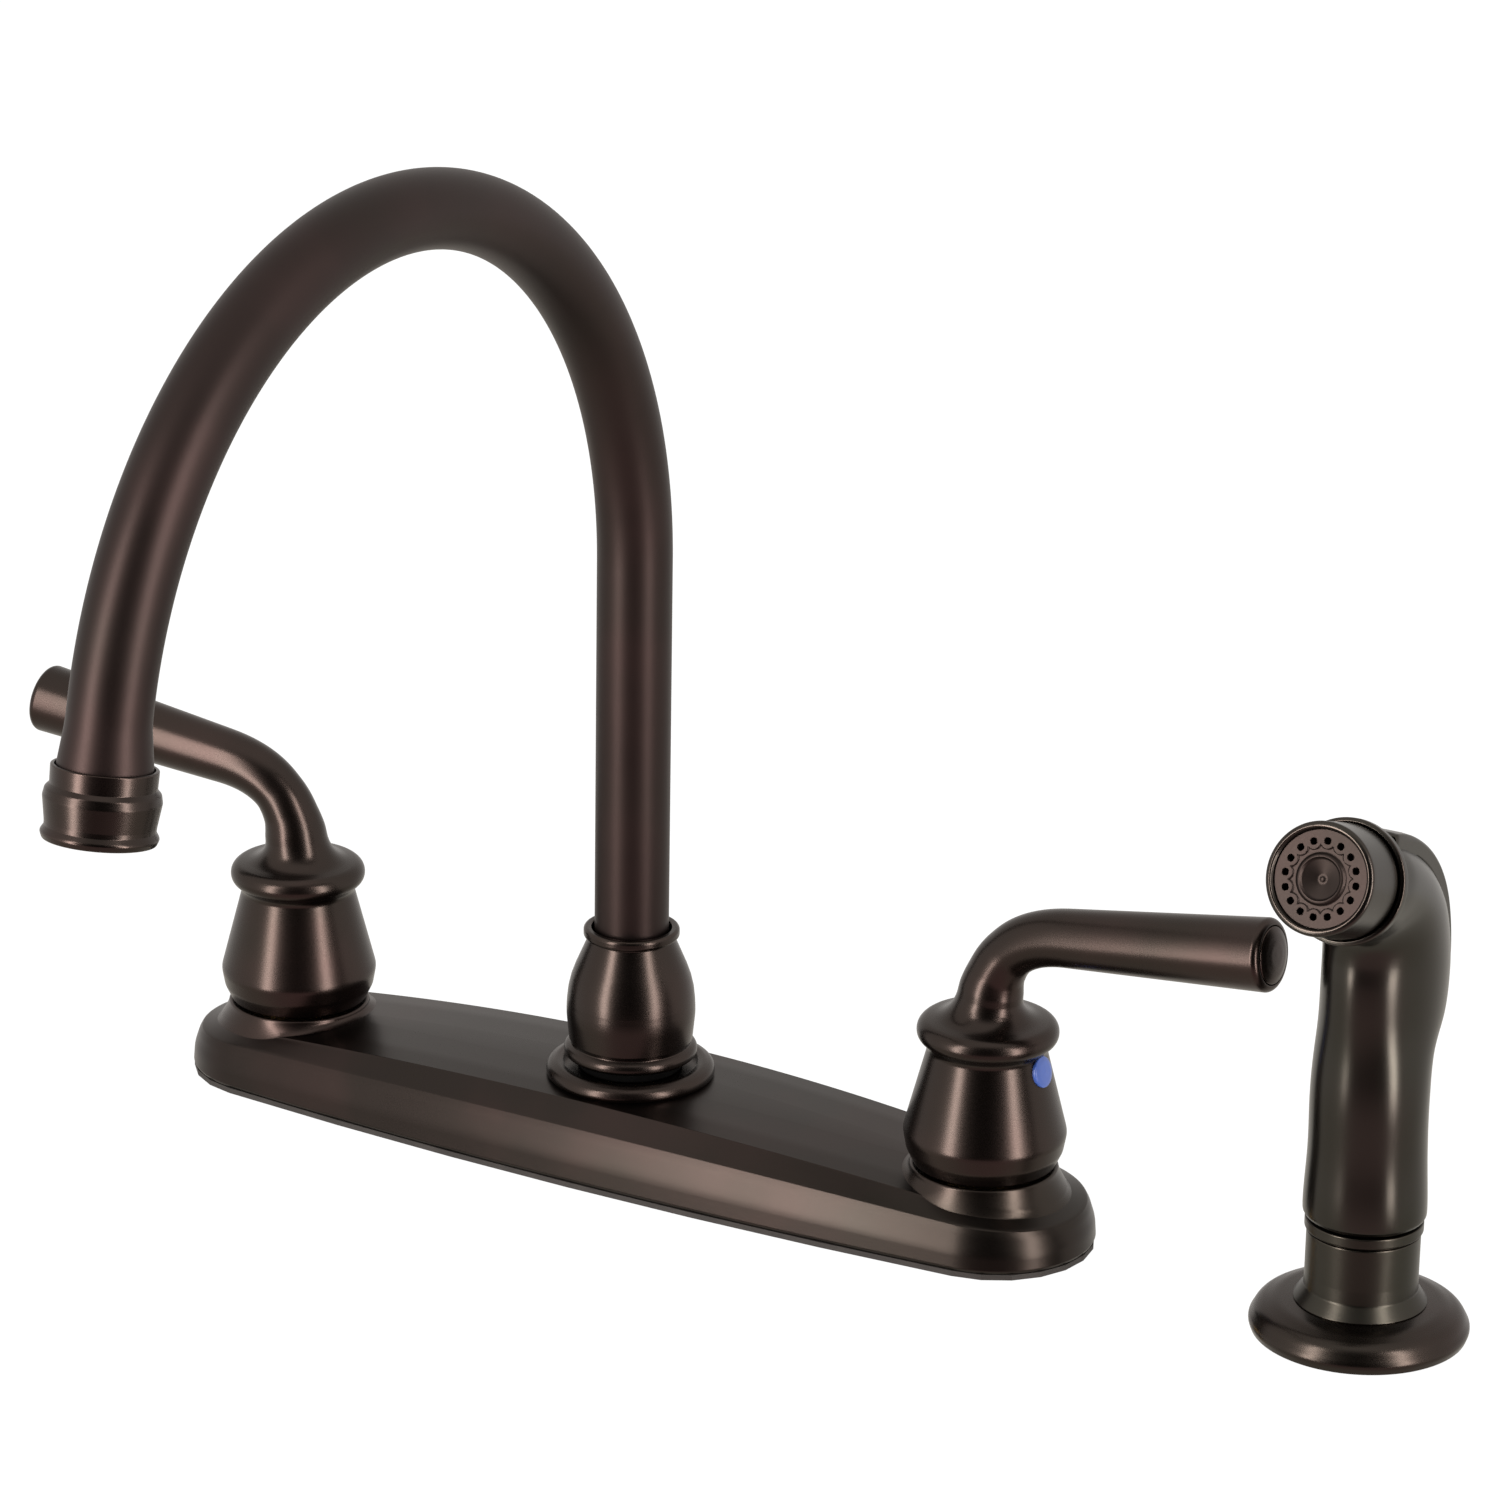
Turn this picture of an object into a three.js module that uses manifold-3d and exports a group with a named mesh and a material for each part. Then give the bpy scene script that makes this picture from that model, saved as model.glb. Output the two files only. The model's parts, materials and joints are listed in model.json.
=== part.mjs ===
// Two handle kitchen faucet with a high arc spout and a side sprayer.
// Millimetres. +Z is up from the deck face, the spout points along -Y and the deck plate runs along X.
// The origin lies on the deck face, on the axis that the spout swings about.
import * as THREE from 'three';
import { mergeVertices } from 'three/addons/utils/BufferGeometryUtils.js';
import Module from 'manifold-3d';

const wasm = await Module();
wasm.setup();

// ---- driving dimensions -------------------------------------------------------------------
const HANDLE_SPACING = 203.2;      // between the two handle axes
const SPRAYER_STANDOFF = 25.8;     // from the cold lever's tip to the sprayer's axis
const DECK_THICKNESS = 22;         // deck that the lock nuts clamp
const RUNNING = 0.4;               // radial clearance of pieces that turn or slide
const SEAT = 0.2;                  // gap between pieces that rest on each other

const GASKET_THICKNESS = 1.4;
const PLATE_OVERHANG = 28.4;       // from a handle axis to the plate's end
const PLATE_DEPTH = 60;            // across the middle
const PLATE_END_RADIUS = 25.5;
const PLATE_HEIGHT = 20.5;         // top edge of the plate at its middle
const PLATE_CROWN = 5;             // how far the top falls from the middle to the handle axes
const PLATE_DOME = 0.8;            // how far the top swells between its long edges
const PLATE_WALL_TOP = 15.2;       // where the bevel starts, at the middle
const PLATE_BEVEL = 5.4;           // how far the bevel leans in
const PLATE_WALL = 3;
const PEDESTAL_RADIUS = 18.2;
const PEDESTAL_FOOT_RADIUS = 21.6;
const PEDESTAL_TOP = 19.8;

const SHANK_RADIUS = 10.3;
const SHANK_LENGTH = 58;           // below the deck face
const SHANK_BORE = 6;
const SHANK_NUT_HEIGHT = 10;
const NUT_WALL = 4.6;
const WING_LENGTH = 9;
const WING_THICKNESS = 4.8;
const WASHER_THICKNESS = 2;
const WASHER_WIDTH = 7.6;
const BODY_RADIUS = 13;
const BODY_TOP = 24;
const BODY_SHOULDER = 1;           // from the plate's underside up to the body's full width
const CARTRIDGE_RADIUS = 9;
const CARTRIDGE_BASE = 12;         // height of the cartridge's seat
const CARTRIDGE_WINDOW = 3;        // radius of the hole in the cartridge's foot
const CARTRIDGE_FLOOR = 4;
const CARTRIDGE_NECK = 2.6;        // wall of the neck round the stem
const BONNET_ACROSS_FLATS = 22;
const BONNET_HEIGHT = 8;
const STEM_RADIUS = 3.8;
const STEM_DEPTH = 6.8;            // the stem's top below the handle's flange
const FEED_TUBE_RADIUS = 4.8;
const FEED_TUBE_HEIGHT = 8;        // height of the cross tubes' axis
const FEED_TUBE_WALL = 1;
const FEED_TUBE_ENTRY = 4;         // depth of the cross tube's socket in a valve body
const FEED_TUBE_POST_ENTRY = 2;    // that a cross tube enters the post's wall

const HANDLE_BASE = 20.4;          // underside of the bell
const BELL_RADIUS = 20;
const BELL_WIDEST = 28;            // height of the widest place
const BELL_WALL = 3;
const BELL_NECK_RADIUS = 14.3;
const FLANGE_RADIUS = 17.45;
const FLANGE_HEIGHT = 54.8;        // height of the flange's widest place
const FLANGE_UNDERCUT = 3.4;       // from there down to the neck
const BELL_SHOULDER_LIFT = 6;      // its shoulder above the widest place
const BELL_DRAW_IN = 1.5;          // how far the bell has drawn in at its shoulder
const LEVER_ROOT_RADIUS = 8;
const LEVER_BEND_RADIUS = 6.8;     // thickness where the lever bends
const LEVER_TIP_RADIUS = 8.9;
const LEVER_REACH = 75.8;          // from the handle axis to the tip
const LEVER_RISE = 7.9;            // degrees
const LEVER_LIFT = 28.3;           // from the flange to the centreline where the straight part starts
const LEVER_BEND_REACH = 21.5;       // where the straight part starts
const LEVER_CAP_RADIUS = 6.9;
const CAP_DEPTH = 2.4;
const CAP_DOME = 1.1;
const COLD_LEVER_YAW = -1.4;       // degrees from +X
const HOT_LEVER_YAW = 185.2;
const BUTTON_RADIUS = 3.9;
const BUTTON_DROP = 8.2;           // the button's middle below the flange
const BUTTON_DEPTH = 1.4;
const BUTTON_DOME = 1.3;
const SCREW_RADIUS = 2.4;

const POST_RADIUS = 12;
const POST_TOP = 34;
const POST_BORE = 9;
const POST_FLOOR = 1.6;
const CHAMBER_BASE = 2.6;          // height of the diverter chamber's underside
const NIPPLE_RADIUS = 6.6;         // the sprayer's outlet below the post
const NIPPLE_LENGTH = 30;
const NIPPLE_BORE = 3.2;
const DIVERTER_RADIUS = 5;
const DIVERTER_HEAD = 5;           // thickness of the piston's head
const DIVERTER_TRAVEL = 2.5;
const SPIGOT_BASE = 22;            // foot of the spout's tube, inside the post
const SPIGOT_RADIUS = 8.5;
const O_RING_WIRE = 0.85;
const O_RING_GROOVE = 1.6;
const BASE_RING_RADIUS = 21.2;
const BASE_RING_THICKNESS = 3.3;
const BASE_RING_LIP = 0.4;         // from the hub's bead out to the ring's inner edge
const HUB_BEAD_RADIUS = 16.8;
const HUB_CLEARANCE = 1.7;          // visible gap between the base ring and the hub
const HUB_RADIUS = 16.2;
const HUB_WIDEST = 40.5;
const HUB_RIM_RADIUS = 11.95;
const HUB_RIM_HEIGHT = 59.4;
const HUB_RIM_BEAD = 1.3;

const TUBE_RADIUS = 9.35;
const TUBE_WALL = 1.5;
const ARCH_RADIUS = 109;
const ARCH_START = 157.3;          // height where the arch begins
const ARCH_SWEEP = 170;            // degrees
const OUTLET_DROP = 24;            // from the end of the arch to the mouth of the aerator
const TUBE_FLARE = 1.3;

const AERATOR_LENGTH = 16.4;
const AERATOR_COLLAR_RADIUS = 11.7;
const AERATOR_BELLY_RADIUS = 12.95;
const AERATOR_WAIST_RADIUS = 12.1;
const AERATOR_LIP_RADIUS = 12.85;
const AERATOR_BORE = 10.2;

const ESCUTCHEON_RADIUS = 26.4;
const ESCUTCHEON_HEIGHT = 9;
const GUIDE_RADIUS = 13.55;
const GUIDE_FLARE_RADIUS = 15.6;
const GUIDE_TOP = 26.2;
const GUIDE_BORE = 10.6;
const GUIDE_SHANK_RADIUS = 12.6;
const GUIDE_SHANK_LENGTH = 44;
const GUIDE_NUT_HEIGHT = 8;
const FERRULE_HEIGHT = 3;
const GRIP_RADIUS = 14.3;          // at the bottom of the sprayer's handle
const GRIP_WAIST_RADIUS = 13.1;
const GRIP_WAIST_HEIGHT = 66;
const SPRAYER_CHAMBER_RADIUS = 8;
const HEAD_DROP = 7.5;             // the head's centre below the sprayer's top
const HEAD_FORWARD = 22.4;         // the head's centre in front of the sprayer's axis
const HEAD_TILT = 20;              // degrees that the spray head looks up
const HEAD_RADIUS = 14.6;
const NOZZLE_RADIUS = 13.25;
const NOZZLE_LENGTH = 15;
const FACE_RADIUS = 11.2;
const FACE_HOLES = 16;
const FACE_HOLE_RADIUS = 0.75;
const FACE_HOLE_CIRCLE = 8.9;
const FACE_DEPTH = 3.2;
const FACE_RECESS = 1;             // the face's depth in the nozzle
const COLLAR_LENGTH = 3;
const TRIGGER_WIDTH = 15;
const TRIGGER_THICKNESS = 3;
const TRIGGER_TRAVEL = 5;          // degrees
const TRIGGER_FOOT = [25.8, 88];   // back of its lower end, along Y and Z
const TRIGGER_RADIUS = 44.8;       // of the arc that its back follows
const TRIGGER_SWEEP = 76;          // degrees, up from the trigger's foot
const TRIGGER_PIVOT_TURN = 65;     // degrees up the arc
const TRIGGER_EAR = 3;             // radius of the eye round its pin
const TRIGGER_PROUD = 0.7;         // that its foot stands out over the handle's back
const SHOULDER_DEPTH = 1.4;        // the handle's skin below the trigger's back
const TOP_DROP = 4.3;              // the sprayer's top below the crest of the trigger's arc
const PIN_RADIUS = 1.1;
const PIN_OVERHANG = 1.6;          // that the pin reaches past the trigger on each side
const HEAD_BORE = 8.4;
const HEAD_CHANNEL = 4;            // radius of the channel from the grip into the head
const PLUNGER_LIFT = 9;            // the plunger's axis over the trigger's foot
const PLUNGER_RADIUS = 2.2;
const PLUNGER_SEAT = 3.2;          // the plunger's inner face, behind the sprayer's axis
const PLUNGER_FLANGE = 1.4;
const CHAMBER_HEADROOM = 15;       // the handle's bore above the plunger

// ---- sizes that follow --------------------------------------------------------------------
const degrees = THREE.MathUtils.degToRad;

const HANDLE_X = HANDLE_SPACING / 2;
const END_CENTRE = HANDLE_X + PLATE_OVERHANG - PLATE_END_RADIUS;
const HALF_DEPTH = PLATE_DEPTH / 2;
// the long sides are arcs that run tangent into the round ends
const SIDE_RADIUS = (END_CENTRE ** 2 + HALF_DEPTH ** 2 - PLATE_END_RADIUS ** 2)
  / (2 * (HALF_DEPTH - PLATE_END_RADIUS));
const PLATE_BASE = GASKET_THICKNESS + SEAT;
const PEDESTAL_FOOT = PLATE_HEIGHT - PLATE_CROWN;
const PLATE_TOP = PLATE_HEIGHT + PLATE_DOME;

const BASE_RING_BASE = PLATE_TOP + SEAT;
const BASE_RING_TOP = BASE_RING_BASE + BASE_RING_THICKNESS;
const HUB_BOTTOM = BASE_RING_TOP + HUB_CLEARANCE;

const STEM_TOP = FLANGE_HEIGHT - STEM_DEPTH;
const LEVER_HEIGHT = FLANGE_HEIGHT + LEVER_LIFT;
const BUTTON_HEIGHT = FLANGE_HEIGHT - BUTTON_DROP;
const BELL_TOP = FLANGE_HEIGHT - FLANGE_UNDERCUT;
const BELL_SHOULDER = BELL_WIDEST + BELL_SHOULDER_LIFT;
// a place on the lever's end, with the turn that points a Z axis out of it
const LEVER_CLIMB = (LEVER_REACH - LEVER_BEND_REACH) * Math.tan(degrees(LEVER_RISE));
const LEVER_END = [LEVER_REACH, 0, LEVER_HEIGHT + LEVER_CLIMB];
const LEVER_OUT = [0, 90 - LEVER_RISE, 0];
// the bell's side at the height of the button, and how it slopes there
const BELL_SLOPE = Math.atan2(BELL_RADIUS - BELL_DRAW_IN - BELL_NECK_RADIUS, BELL_TOP - BELL_SHOULDER);
const BUTTON_REACH = BELL_NECK_RADIUS + (BELL_TOP - BUTTON_HEIGHT) * Math.tan(BELL_SLOPE);
const BUTTON_OUT = [0, 90 - THREE.MathUtils.radToDeg(BELL_SLOPE), 0];
const BUTTON_PLACE = [BUTTON_REACH, 0, BUTTON_HEIGHT];

const CHAMBER_FLOOR = CHAMBER_BASE + POST_FLOOR;
const DIVERTER_TOP = SPIGOT_BASE - 1;
const O_RING_HEIGHTS = [SPIGOT_BASE + 3, SPIGOT_BASE + 8];
// the tube stops inside the aerator's collar
const TUBE_END = OUTLET_DROP - AERATOR_LENGTH + 1.6;

const AERATOR_INSERT_RADIUS = AERATOR_BORE - RUNNING;
const FERRULE_BASE = GUIDE_TOP + SEAT;
const FERRULE_TOP = FERRULE_BASE + FERRULE_HEIGHT;
const GRIP_BASE = FERRULE_TOP + SEAT;
const CONNECTOR_RADIUS = GUIDE_BORE - RUNNING - 0.3;
const TRIGGER_INNER = TRIGGER_RADIUS - TRIGGER_THICKNESS;
const TRIGGER_CENTRE = [TRIGGER_FOOT[0] - TRIGGER_RADIUS, TRIGGER_FOOT[1]];
// the pivot lies where the eye just meets the underside of the trigger
const PIVOT_RADIUS = TRIGGER_INNER - TRIGGER_EAR + 0.35;
const TRIGGER_PIVOT = [
  TRIGGER_CENTRE[0] + PIVOT_RADIUS * Math.cos(degrees(TRIGGER_PIVOT_TURN)),
  TRIGGER_CENTRE[1] + PIVOT_RADIUS * Math.sin(degrees(TRIGGER_PIVOT_TURN)),
];
const SPRAYER_TOP = TRIGGER_FOOT[1] + TRIGGER_RADIUS - TOP_DROP;
const HEAD_CENTRE = [-HEAD_FORWARD, SPRAYER_TOP - HEAD_DROP];
const HANDLE_BACK = TRIGGER_FOOT[0] - TRIGGER_PROUD;
const GRIP_BULGE = HANDLE_BACK - GRIP_WAIST_RADIUS;
const PLUNGER_HEIGHT = TRIGGER_FOOT[1] + PLUNGER_LIFT;

// ---- facets -------------------------------------------------------------------------------
const ROUND = 20;                  // sides of the large turned pieces
const SMALL_ROUND = 12;
const STEM_SIDES = 16;
const CURVE_STEPS = 2;             // points along each curve of a profile
const TUBE_SIDES = 12;
const BORE_SIDES = 8;
const ARCH_STEPS = 16;

// ---- materials ----------------------------------------------------------------------------
const material = (color, roughness, metalness) =>
  new THREE.MeshStandardMaterial({ color, roughness, metalness });
const BRONZE = () => material('#3a322d', 0.42, 0.85);
const BRASS = () => material('#b08d4a', 0.35, 1);
const COPPER = () => material('#b26a45', 0.35, 1);
const STEEL = () => material('#a9abad', 0.3, 1);
const BLACK_PLASTIC = () => material('#1c1b1b', 0.6, 0);
const GREY_PLASTIC = () => material('#8d8f90', 0.55, 0);
const RUBBER = () => material('#151515', 0.85, 0);
const BLUE = () => material('#3c57a8', 0.4, 0);
const RED = () => material('#a8322c', 0.4, 0);

// ---- solids -------------------------------------------------------------------------------
/** Turns a closed geometry into a solid, with its faces pointing out. */
function solid(geometry) {
  const bare = new THREE.BufferGeometry();
  bare.setAttribute('position', geometry.getAttribute('position').clone());
  if (geometry.index) bare.setIndex(geometry.index.clone());
  const merged = mergeVertices(bare, 1e-4);
  const points = merged.getAttribute('position').array;
  const corner = (i) => new THREE.Vector3().fromArray(points, 3 * i);
  const kept = [];
  let volume = 0;
  for (let i = 0; i < merged.index.count; i += 3) {
    const [a, b, c] = [0, 1, 2].map((k) => merged.index.getX(i + k));
    if (a === b || b === c || c === a) continue;
    kept.push([a, b, c]);
    volume += corner(a).dot(corner(b).cross(corner(c)));
  }
  const triVerts = Uint32Array.from(kept.flatMap(([a, b, c]) => (volume > 0 ? [a, b, c] : [a, c, b])));
  const mesh = new wasm.Mesh({ numProp: 3, vertProperties: Float32Array.from(points), triVerts });
  return new wasm.Manifold(mesh);
}

/** Gives a solid back as a geometry. */
function geometryOf(body) {
  const { vertProperties, triVerts } = body.getMesh();
  const geometry = new THREE.BufferGeometry();
  geometry.setAttribute('position', new THREE.BufferAttribute(vertProperties, 3));
  geometry.setIndex(new THREE.BufferAttribute(triVerts, 1));
  return geometry;
}

/** A profile of radius and height, drawn on a path, revolved about the Z axis. */
function turned(draw, sides = ROUND, steps = CURVE_STEPS) {
  const path = new THREE.Path();
  draw(path);
  return solid(new THREE.LatheGeometry(path.getPoints(steps), sides).rotateX(Math.PI / 2));
}

/** A closed ring with a rectangular section. */
function ring(inner, outer, low, high, sides = ROUND) {
  const draw = (p) => p.moveTo(inner, low).lineTo(outer, low).lineTo(outer, high)
    .lineTo(inner, high).lineTo(inner, low);
  return turned(draw, sides);
}

/** A plain round bar along Z. */
function bar(radius, low, high, sides = ROUND) {
  return turned((p) => p.moveTo(0, low).lineTo(radius, low).lineTo(radius, high).lineTo(0, high), sides);
}

/** A ring of round wire. */
function roundRing(radius, wire, height, sides = ROUND, wireSides = 6) {
  return solid(new THREE.TorusGeometry(radius, wire, wireSides, sides).translate(0, 0, height));
}

/** A flat outline pushed up along Z. */
function pushed(shape, low, high, curveSegments = CURVE_STEPS) {
  const depth = high - low;
  const geometry = new THREE.ExtrudeGeometry(shape, { depth, bevelEnabled: false, curveSegments });
  return solid(geometry.translate(0, 0, low));
}

/** A skin over rings that have the same number of points; the two ends are closed. */
function lofted(rings) {
  const count = rings[0].length;
  const index = [];
  for (let i = 0; i + 1 < rings.length; i += 1) {
    for (let j = 0; j < count; j += 1) {
      const [a, b] = [i * count + j, i * count + ((j + 1) % count)];
      index.push(a, b, b + count, a, b + count, a + count);
    }
  }
  // the ends are ladders of triangles, from one side of the ring across to the other
  const last = (rings.length - 1) * count;
  for (let j = 0; 2 * j + 1 < count; j += 1) {
    const [near, next] = [j, j + 1];
    const [far, before] = [(count - j) % count, count - j - 1];
    for (const [p, q, r] of [[near, before, next], [near, far, before]]) {
      if (p === q || q === r || r === p) continue;
      index.push(p, q, r);
      index.push(last + p, last + r, last + q);
    }
  }
  const geometry = new THREE.BufferGeometry().setFromPoints(rings.flat());
  geometry.setIndex(index);
  return solid(geometry);
}

/** A bar of changing radius along a centreline in the XZ plane: stations of [x, z, lean, radius]. */
function bentBar(stations, sides) {
  return lofted(stations.map(([x, z, lean, radius]) => {
    const across = new THREE.Vector3(Math.cos(lean), 0, -Math.sin(lean));
    const side = new THREE.Vector3(0, 1, 0);
    return Array.from({ length: sides }, (_, j) => {
      const turn = (2 * Math.PI * j) / sides;
      return new THREE.Vector3(x, 0, z)
        .addScaledVector(across, radius * Math.cos(turn))
        .addScaledVector(side, radius * Math.sin(turn));
    });
  }));
}

/** Moves, then turns, a solid: angles in degrees about X, Y and Z. */
const placed = (body, [x, y, z], [rx, ry, rz] = [0, 0, 0]) => body.rotate(rx, ry, rz).translate(x, y, z);

/** A regular polygon with the given distance across its flats. */
function polygon(acrossFlats, sides, turn = 0) {
  const radius = acrossFlats / 2 / Math.cos(Math.PI / sides);
  const shape = new THREE.Shape();
  for (let i = 0; i < sides; i += 1) {
    const angle = turn + (2 * Math.PI * i) / sides;
    const [x, y] = [radius * Math.cos(angle), radius * Math.sin(angle)];
    if (i) shape.lineTo(x, y);
    else shape.moveTo(x, y);
  }
  shape.closePath();
  return shape;
}

const model = new THREE.Group();

/** Adds one named piece to a group. */
function add(group, name, body, finish) {
  const mesh = new THREE.Mesh(geometryOf(body), finish);
  mesh.name = name;
  group.add(mesh);
}

// ---- deck plate ---------------------------------------------------------------------------
/** Points of the plate's outline, inset from its edge, with the height given as a function of x. */
function plateRing(inset, height) {
  const endSteps = 10;
  const sideSteps = 6;
  const meet = Math.atan2(SIDE_RADIUS - HALF_DEPTH, END_CENTRE);
  const points = [];
  const arc = (x, y, radius, from, to, steps) => {
    for (let i = 0; i < steps; i += 1) {
      const turn = from + ((to - from) * i) / steps;
      points.push([x + radius * Math.cos(turn), y + radius * Math.sin(turn)]);
    }
  };
  const end = PLATE_END_RADIUS - inset;
  const side = SIDE_RADIUS - inset;
  arc(END_CENTRE, 0, end, 0, meet, endSteps / 2);
  arc(0, HALF_DEPTH - SIDE_RADIUS, side, meet, Math.PI - meet, sideSteps);
  arc(-END_CENTRE, 0, end, Math.PI - meet, Math.PI + meet, endSteps);
  arc(0, SIDE_RADIUS - HALF_DEPTH, side, Math.PI + meet, 2 * Math.PI - meet, sideSteps);
  arc(END_CENTRE, 0, end, -meet, 0, endSteps / 2);
  return points.map(([x, y]) => new THREE.Vector3(x, y, height(x)));
}

/** A stack of plate outlines: rows of inset, height and share of the crown. */
const plateStack = (rows) => lofted(rows.map(([inset, height, crown]) =>
  plateRing(inset, (x) => height - crown * PLATE_CROWN * (x / HANDLE_X) ** 2)));

function deckGasket() {
  const width = 8;
  const inset = 0.2;
  const outer = plateStack([[inset, 0, 0], [inset, GASKET_THICKNESS, 0]]);
  const inner = plateStack([[inset + width, -1, 0], [inset + width, GASKET_THICKNESS + 1, 0]]);
  return outer.subtract(inner);
}

/** The bronze casting: drafted wall, bevel, crowned top, two pedestals and the hollow below. */
function deckPlate() {
  const groove = 0.8;
  const draft = 2;
  const edge = draft + PLATE_BEVEL;
  const middle = PLATE_END_RADIUS - 0.4;
  const skin = plateStack([
    [groove, PLATE_BASE, 0],
    [0, PLATE_BASE + 0.8, 0],
    [draft - 0.3, PLATE_WALL_TOP - 0.8, 0.5],
    [draft + 0.7, PLATE_WALL_TOP + 0.2, 0.53],
    [edge - 0.6, PLATE_HEIGHT - 0.4, 0.98],
    [edge + 0.6, PLATE_HEIGHT, 1],
    [(edge + middle) / 2, PLATE_HEIGHT + 0.75 * PLATE_DOME, 1],
    [middle, PLATE_TOP, 1],
  ]);
  const hollow = plateStack([
    [draft + PLATE_WALL, PLATE_BASE - 1, 0],
    [draft + PLATE_WALL, PLATE_WALL_TOP - PLATE_WALL, 0.6],
    [edge + PLATE_WALL, PLATE_HEIGHT - PLATE_WALL, 1],
    [middle, PLATE_HEIGHT - PLATE_WALL, 1],
  ]);
  const foot = PEDESTAL_FOOT;
  const pedestal = turned((p) => p.moveTo(0, foot - 2.4)
    .lineTo(PEDESTAL_FOOT_RADIUS, foot - 2.4)
    .lineTo(PEDESTAL_FOOT_RADIUS, foot - 0.1)
    .quadraticCurveTo(PEDESTAL_RADIUS + 0.5, foot + 0.6, PEDESTAL_RADIUS + 0.1, PEDESTAL_TOP - 0.6)
    .lineTo(PEDESTAL_RADIUS - 0.4, PEDESTAL_TOP)
    .lineTo(0, PEDESTAL_TOP));
  const bore = bar(BODY_RADIUS + SEAT, -1, PEDESTAL_TOP + 1);
  let plate = skin.subtract(hollow);
  for (const x of [-HANDLE_X, HANDLE_X]) {
    plate = plate.add(pedestal.translate(x, 0, 0)).subtract(bore.translate(x, 0, 0));
  }
  return plate.subtract(bar(POST_RADIUS + SEAT, -1, PLATE_TOP + 1));
}

/** The bead that stands round the foot of the spout. */
function spoutBaseRing() {
  const [low, high] = [BASE_RING_BASE, BASE_RING_TOP];
  const inner = POST_RADIUS + SEAT;
  const lip = HUB_BEAD_RADIUS + BASE_RING_LIP;
  const land = high - 1.6;
  return turned((p) => p.moveTo(inner, low)
    .lineTo(BASE_RING_RADIUS - 0.9, low)
    .quadraticCurveTo(BASE_RING_RADIUS, low + 0.2, BASE_RING_RADIUS, low + 0.9)
    .quadraticCurveTo(BASE_RING_RADIUS - 0.6, high, lip + 1.2, high)
    .lineTo(lip, high - 0.3)
    .lineTo(lip - 0.4, land)
    .lineTo(inner, land)
    .lineTo(inner, low));
}

// ---- valves under the plate ---------------------------------------------------------------
/** One end of the brass waterway: threaded shank, body and cartridge pocket. side is -1 or 1. */
function valveBody(side) {
  const shoulder = PLATE_BASE + BODY_SHOULDER;
  const chamfer = 1;
  const outside = turned((p) => p.moveTo(0, -SHANK_LENGTH)
    .lineTo(SHANK_RADIUS - chamfer, -SHANK_LENGTH)
    .lineTo(SHANK_RADIUS, chamfer - SHANK_LENGTH)
    .lineTo(SHANK_RADIUS, shoulder)
    .lineTo(BODY_RADIUS, shoulder)
    .lineTo(BODY_RADIUS, BODY_TOP)
    .lineTo(0, BODY_TOP));
  const pocket = bar(CARTRIDGE_RADIUS + SEAT, CARTRIDGE_BASE, BODY_TOP + 1);
  const passage = bar(SHANK_BORE, -SHANK_LENGTH - 1, CARTRIDGE_BASE + 1, SMALL_ROUND);
  const port = placed(bar(FEED_TUBE_RADIUS + SEAT, 0, 2 * BODY_RADIUS, SMALL_ROUND),
    [-side * (BODY_RADIUS - FEED_TUBE_ENTRY), 0, FEED_TUBE_HEIGHT], [0, -side * 90, 0]);
  return outside.subtract(pocket).subtract(passage).subtract(port);
}

/** A copper cross tube, from a valve body to the spout post. side is -1 or 1. */
function feedTube(side) {
  const start = POST_RADIUS - FEED_TUBE_POST_ENTRY;
  const end = HANDLE_X - BODY_RADIUS + FEED_TUBE_ENTRY - RUNNING;
  return placed(ring(FEED_TUBE_RADIUS - FEED_TUBE_WALL, FEED_TUBE_RADIUS, 0, end - start, SMALL_ROUND),
    [side * start, 0, FEED_TUBE_HEIGHT], [0, side * 90, 0]);
}

/** The ceramic valve's casing, with a round window at its foot and a bore for the stem. */
function cartridge() {
  const low = CARTRIDGE_BASE + SEAT;
  const floor = low + CARTRIDGE_FLOOR;
  const neck = STEM_RADIUS + CARTRIDGE_NECK;
  const bore = STEM_RADIUS + RUNNING;
  return turned((p) => p.moveTo(CARTRIDGE_WINDOW, low)
    .lineTo(CARTRIDGE_RADIUS, low)
    .lineTo(CARTRIDGE_RADIUS, BODY_TOP + 1)
    .lineTo(neck, BODY_TOP + 2)
    .lineTo(neck, BODY_TOP + 5)
    .lineTo(bore, BODY_TOP + 5)
    .lineTo(bore, floor)
    .lineTo(CARTRIDGE_WINDOW, floor)
    .lineTo(CARTRIDGE_WINDOW, low), SMALL_ROUND);
}

/** The hexagonal nut that holds the cartridge down. */
function bonnetNut() {
  const low = BODY_TOP + SEAT;
  const high = low + BONNET_HEIGHT;
  const flat = BONNET_ACROSS_FLATS / 2;
  const hex = pushed(polygon(BONNET_ACROSS_FLATS, 6), low, high);
  const chamfer = turned((p) => p.moveTo(0, low - 1)
    .lineTo(flat + 2.4, low - 1)
    .lineTo(flat + 2.4, high - 1.6)
    .lineTo(flat - 0.6, high)
    .lineTo(0, high), SMALL_ROUND);
  const neck = STEM_RADIUS + CARTRIDGE_NECK + SEAT;
  const seat = turned((p) => p.moveTo(0, low - 1)
    .lineTo(CARTRIDGE_RADIUS + SEAT, low - 1)
    .lineTo(CARTRIDGE_RADIUS + SEAT, BODY_TOP + 1 + SEAT)
    .lineTo(neck, BODY_TOP + 2 + SEAT)
    .lineTo(neck, high + 1)
    .lineTo(0, high + 1), SMALL_ROUND);
  return hex.intersect(chamfer).subtract(seat);
}

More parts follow.
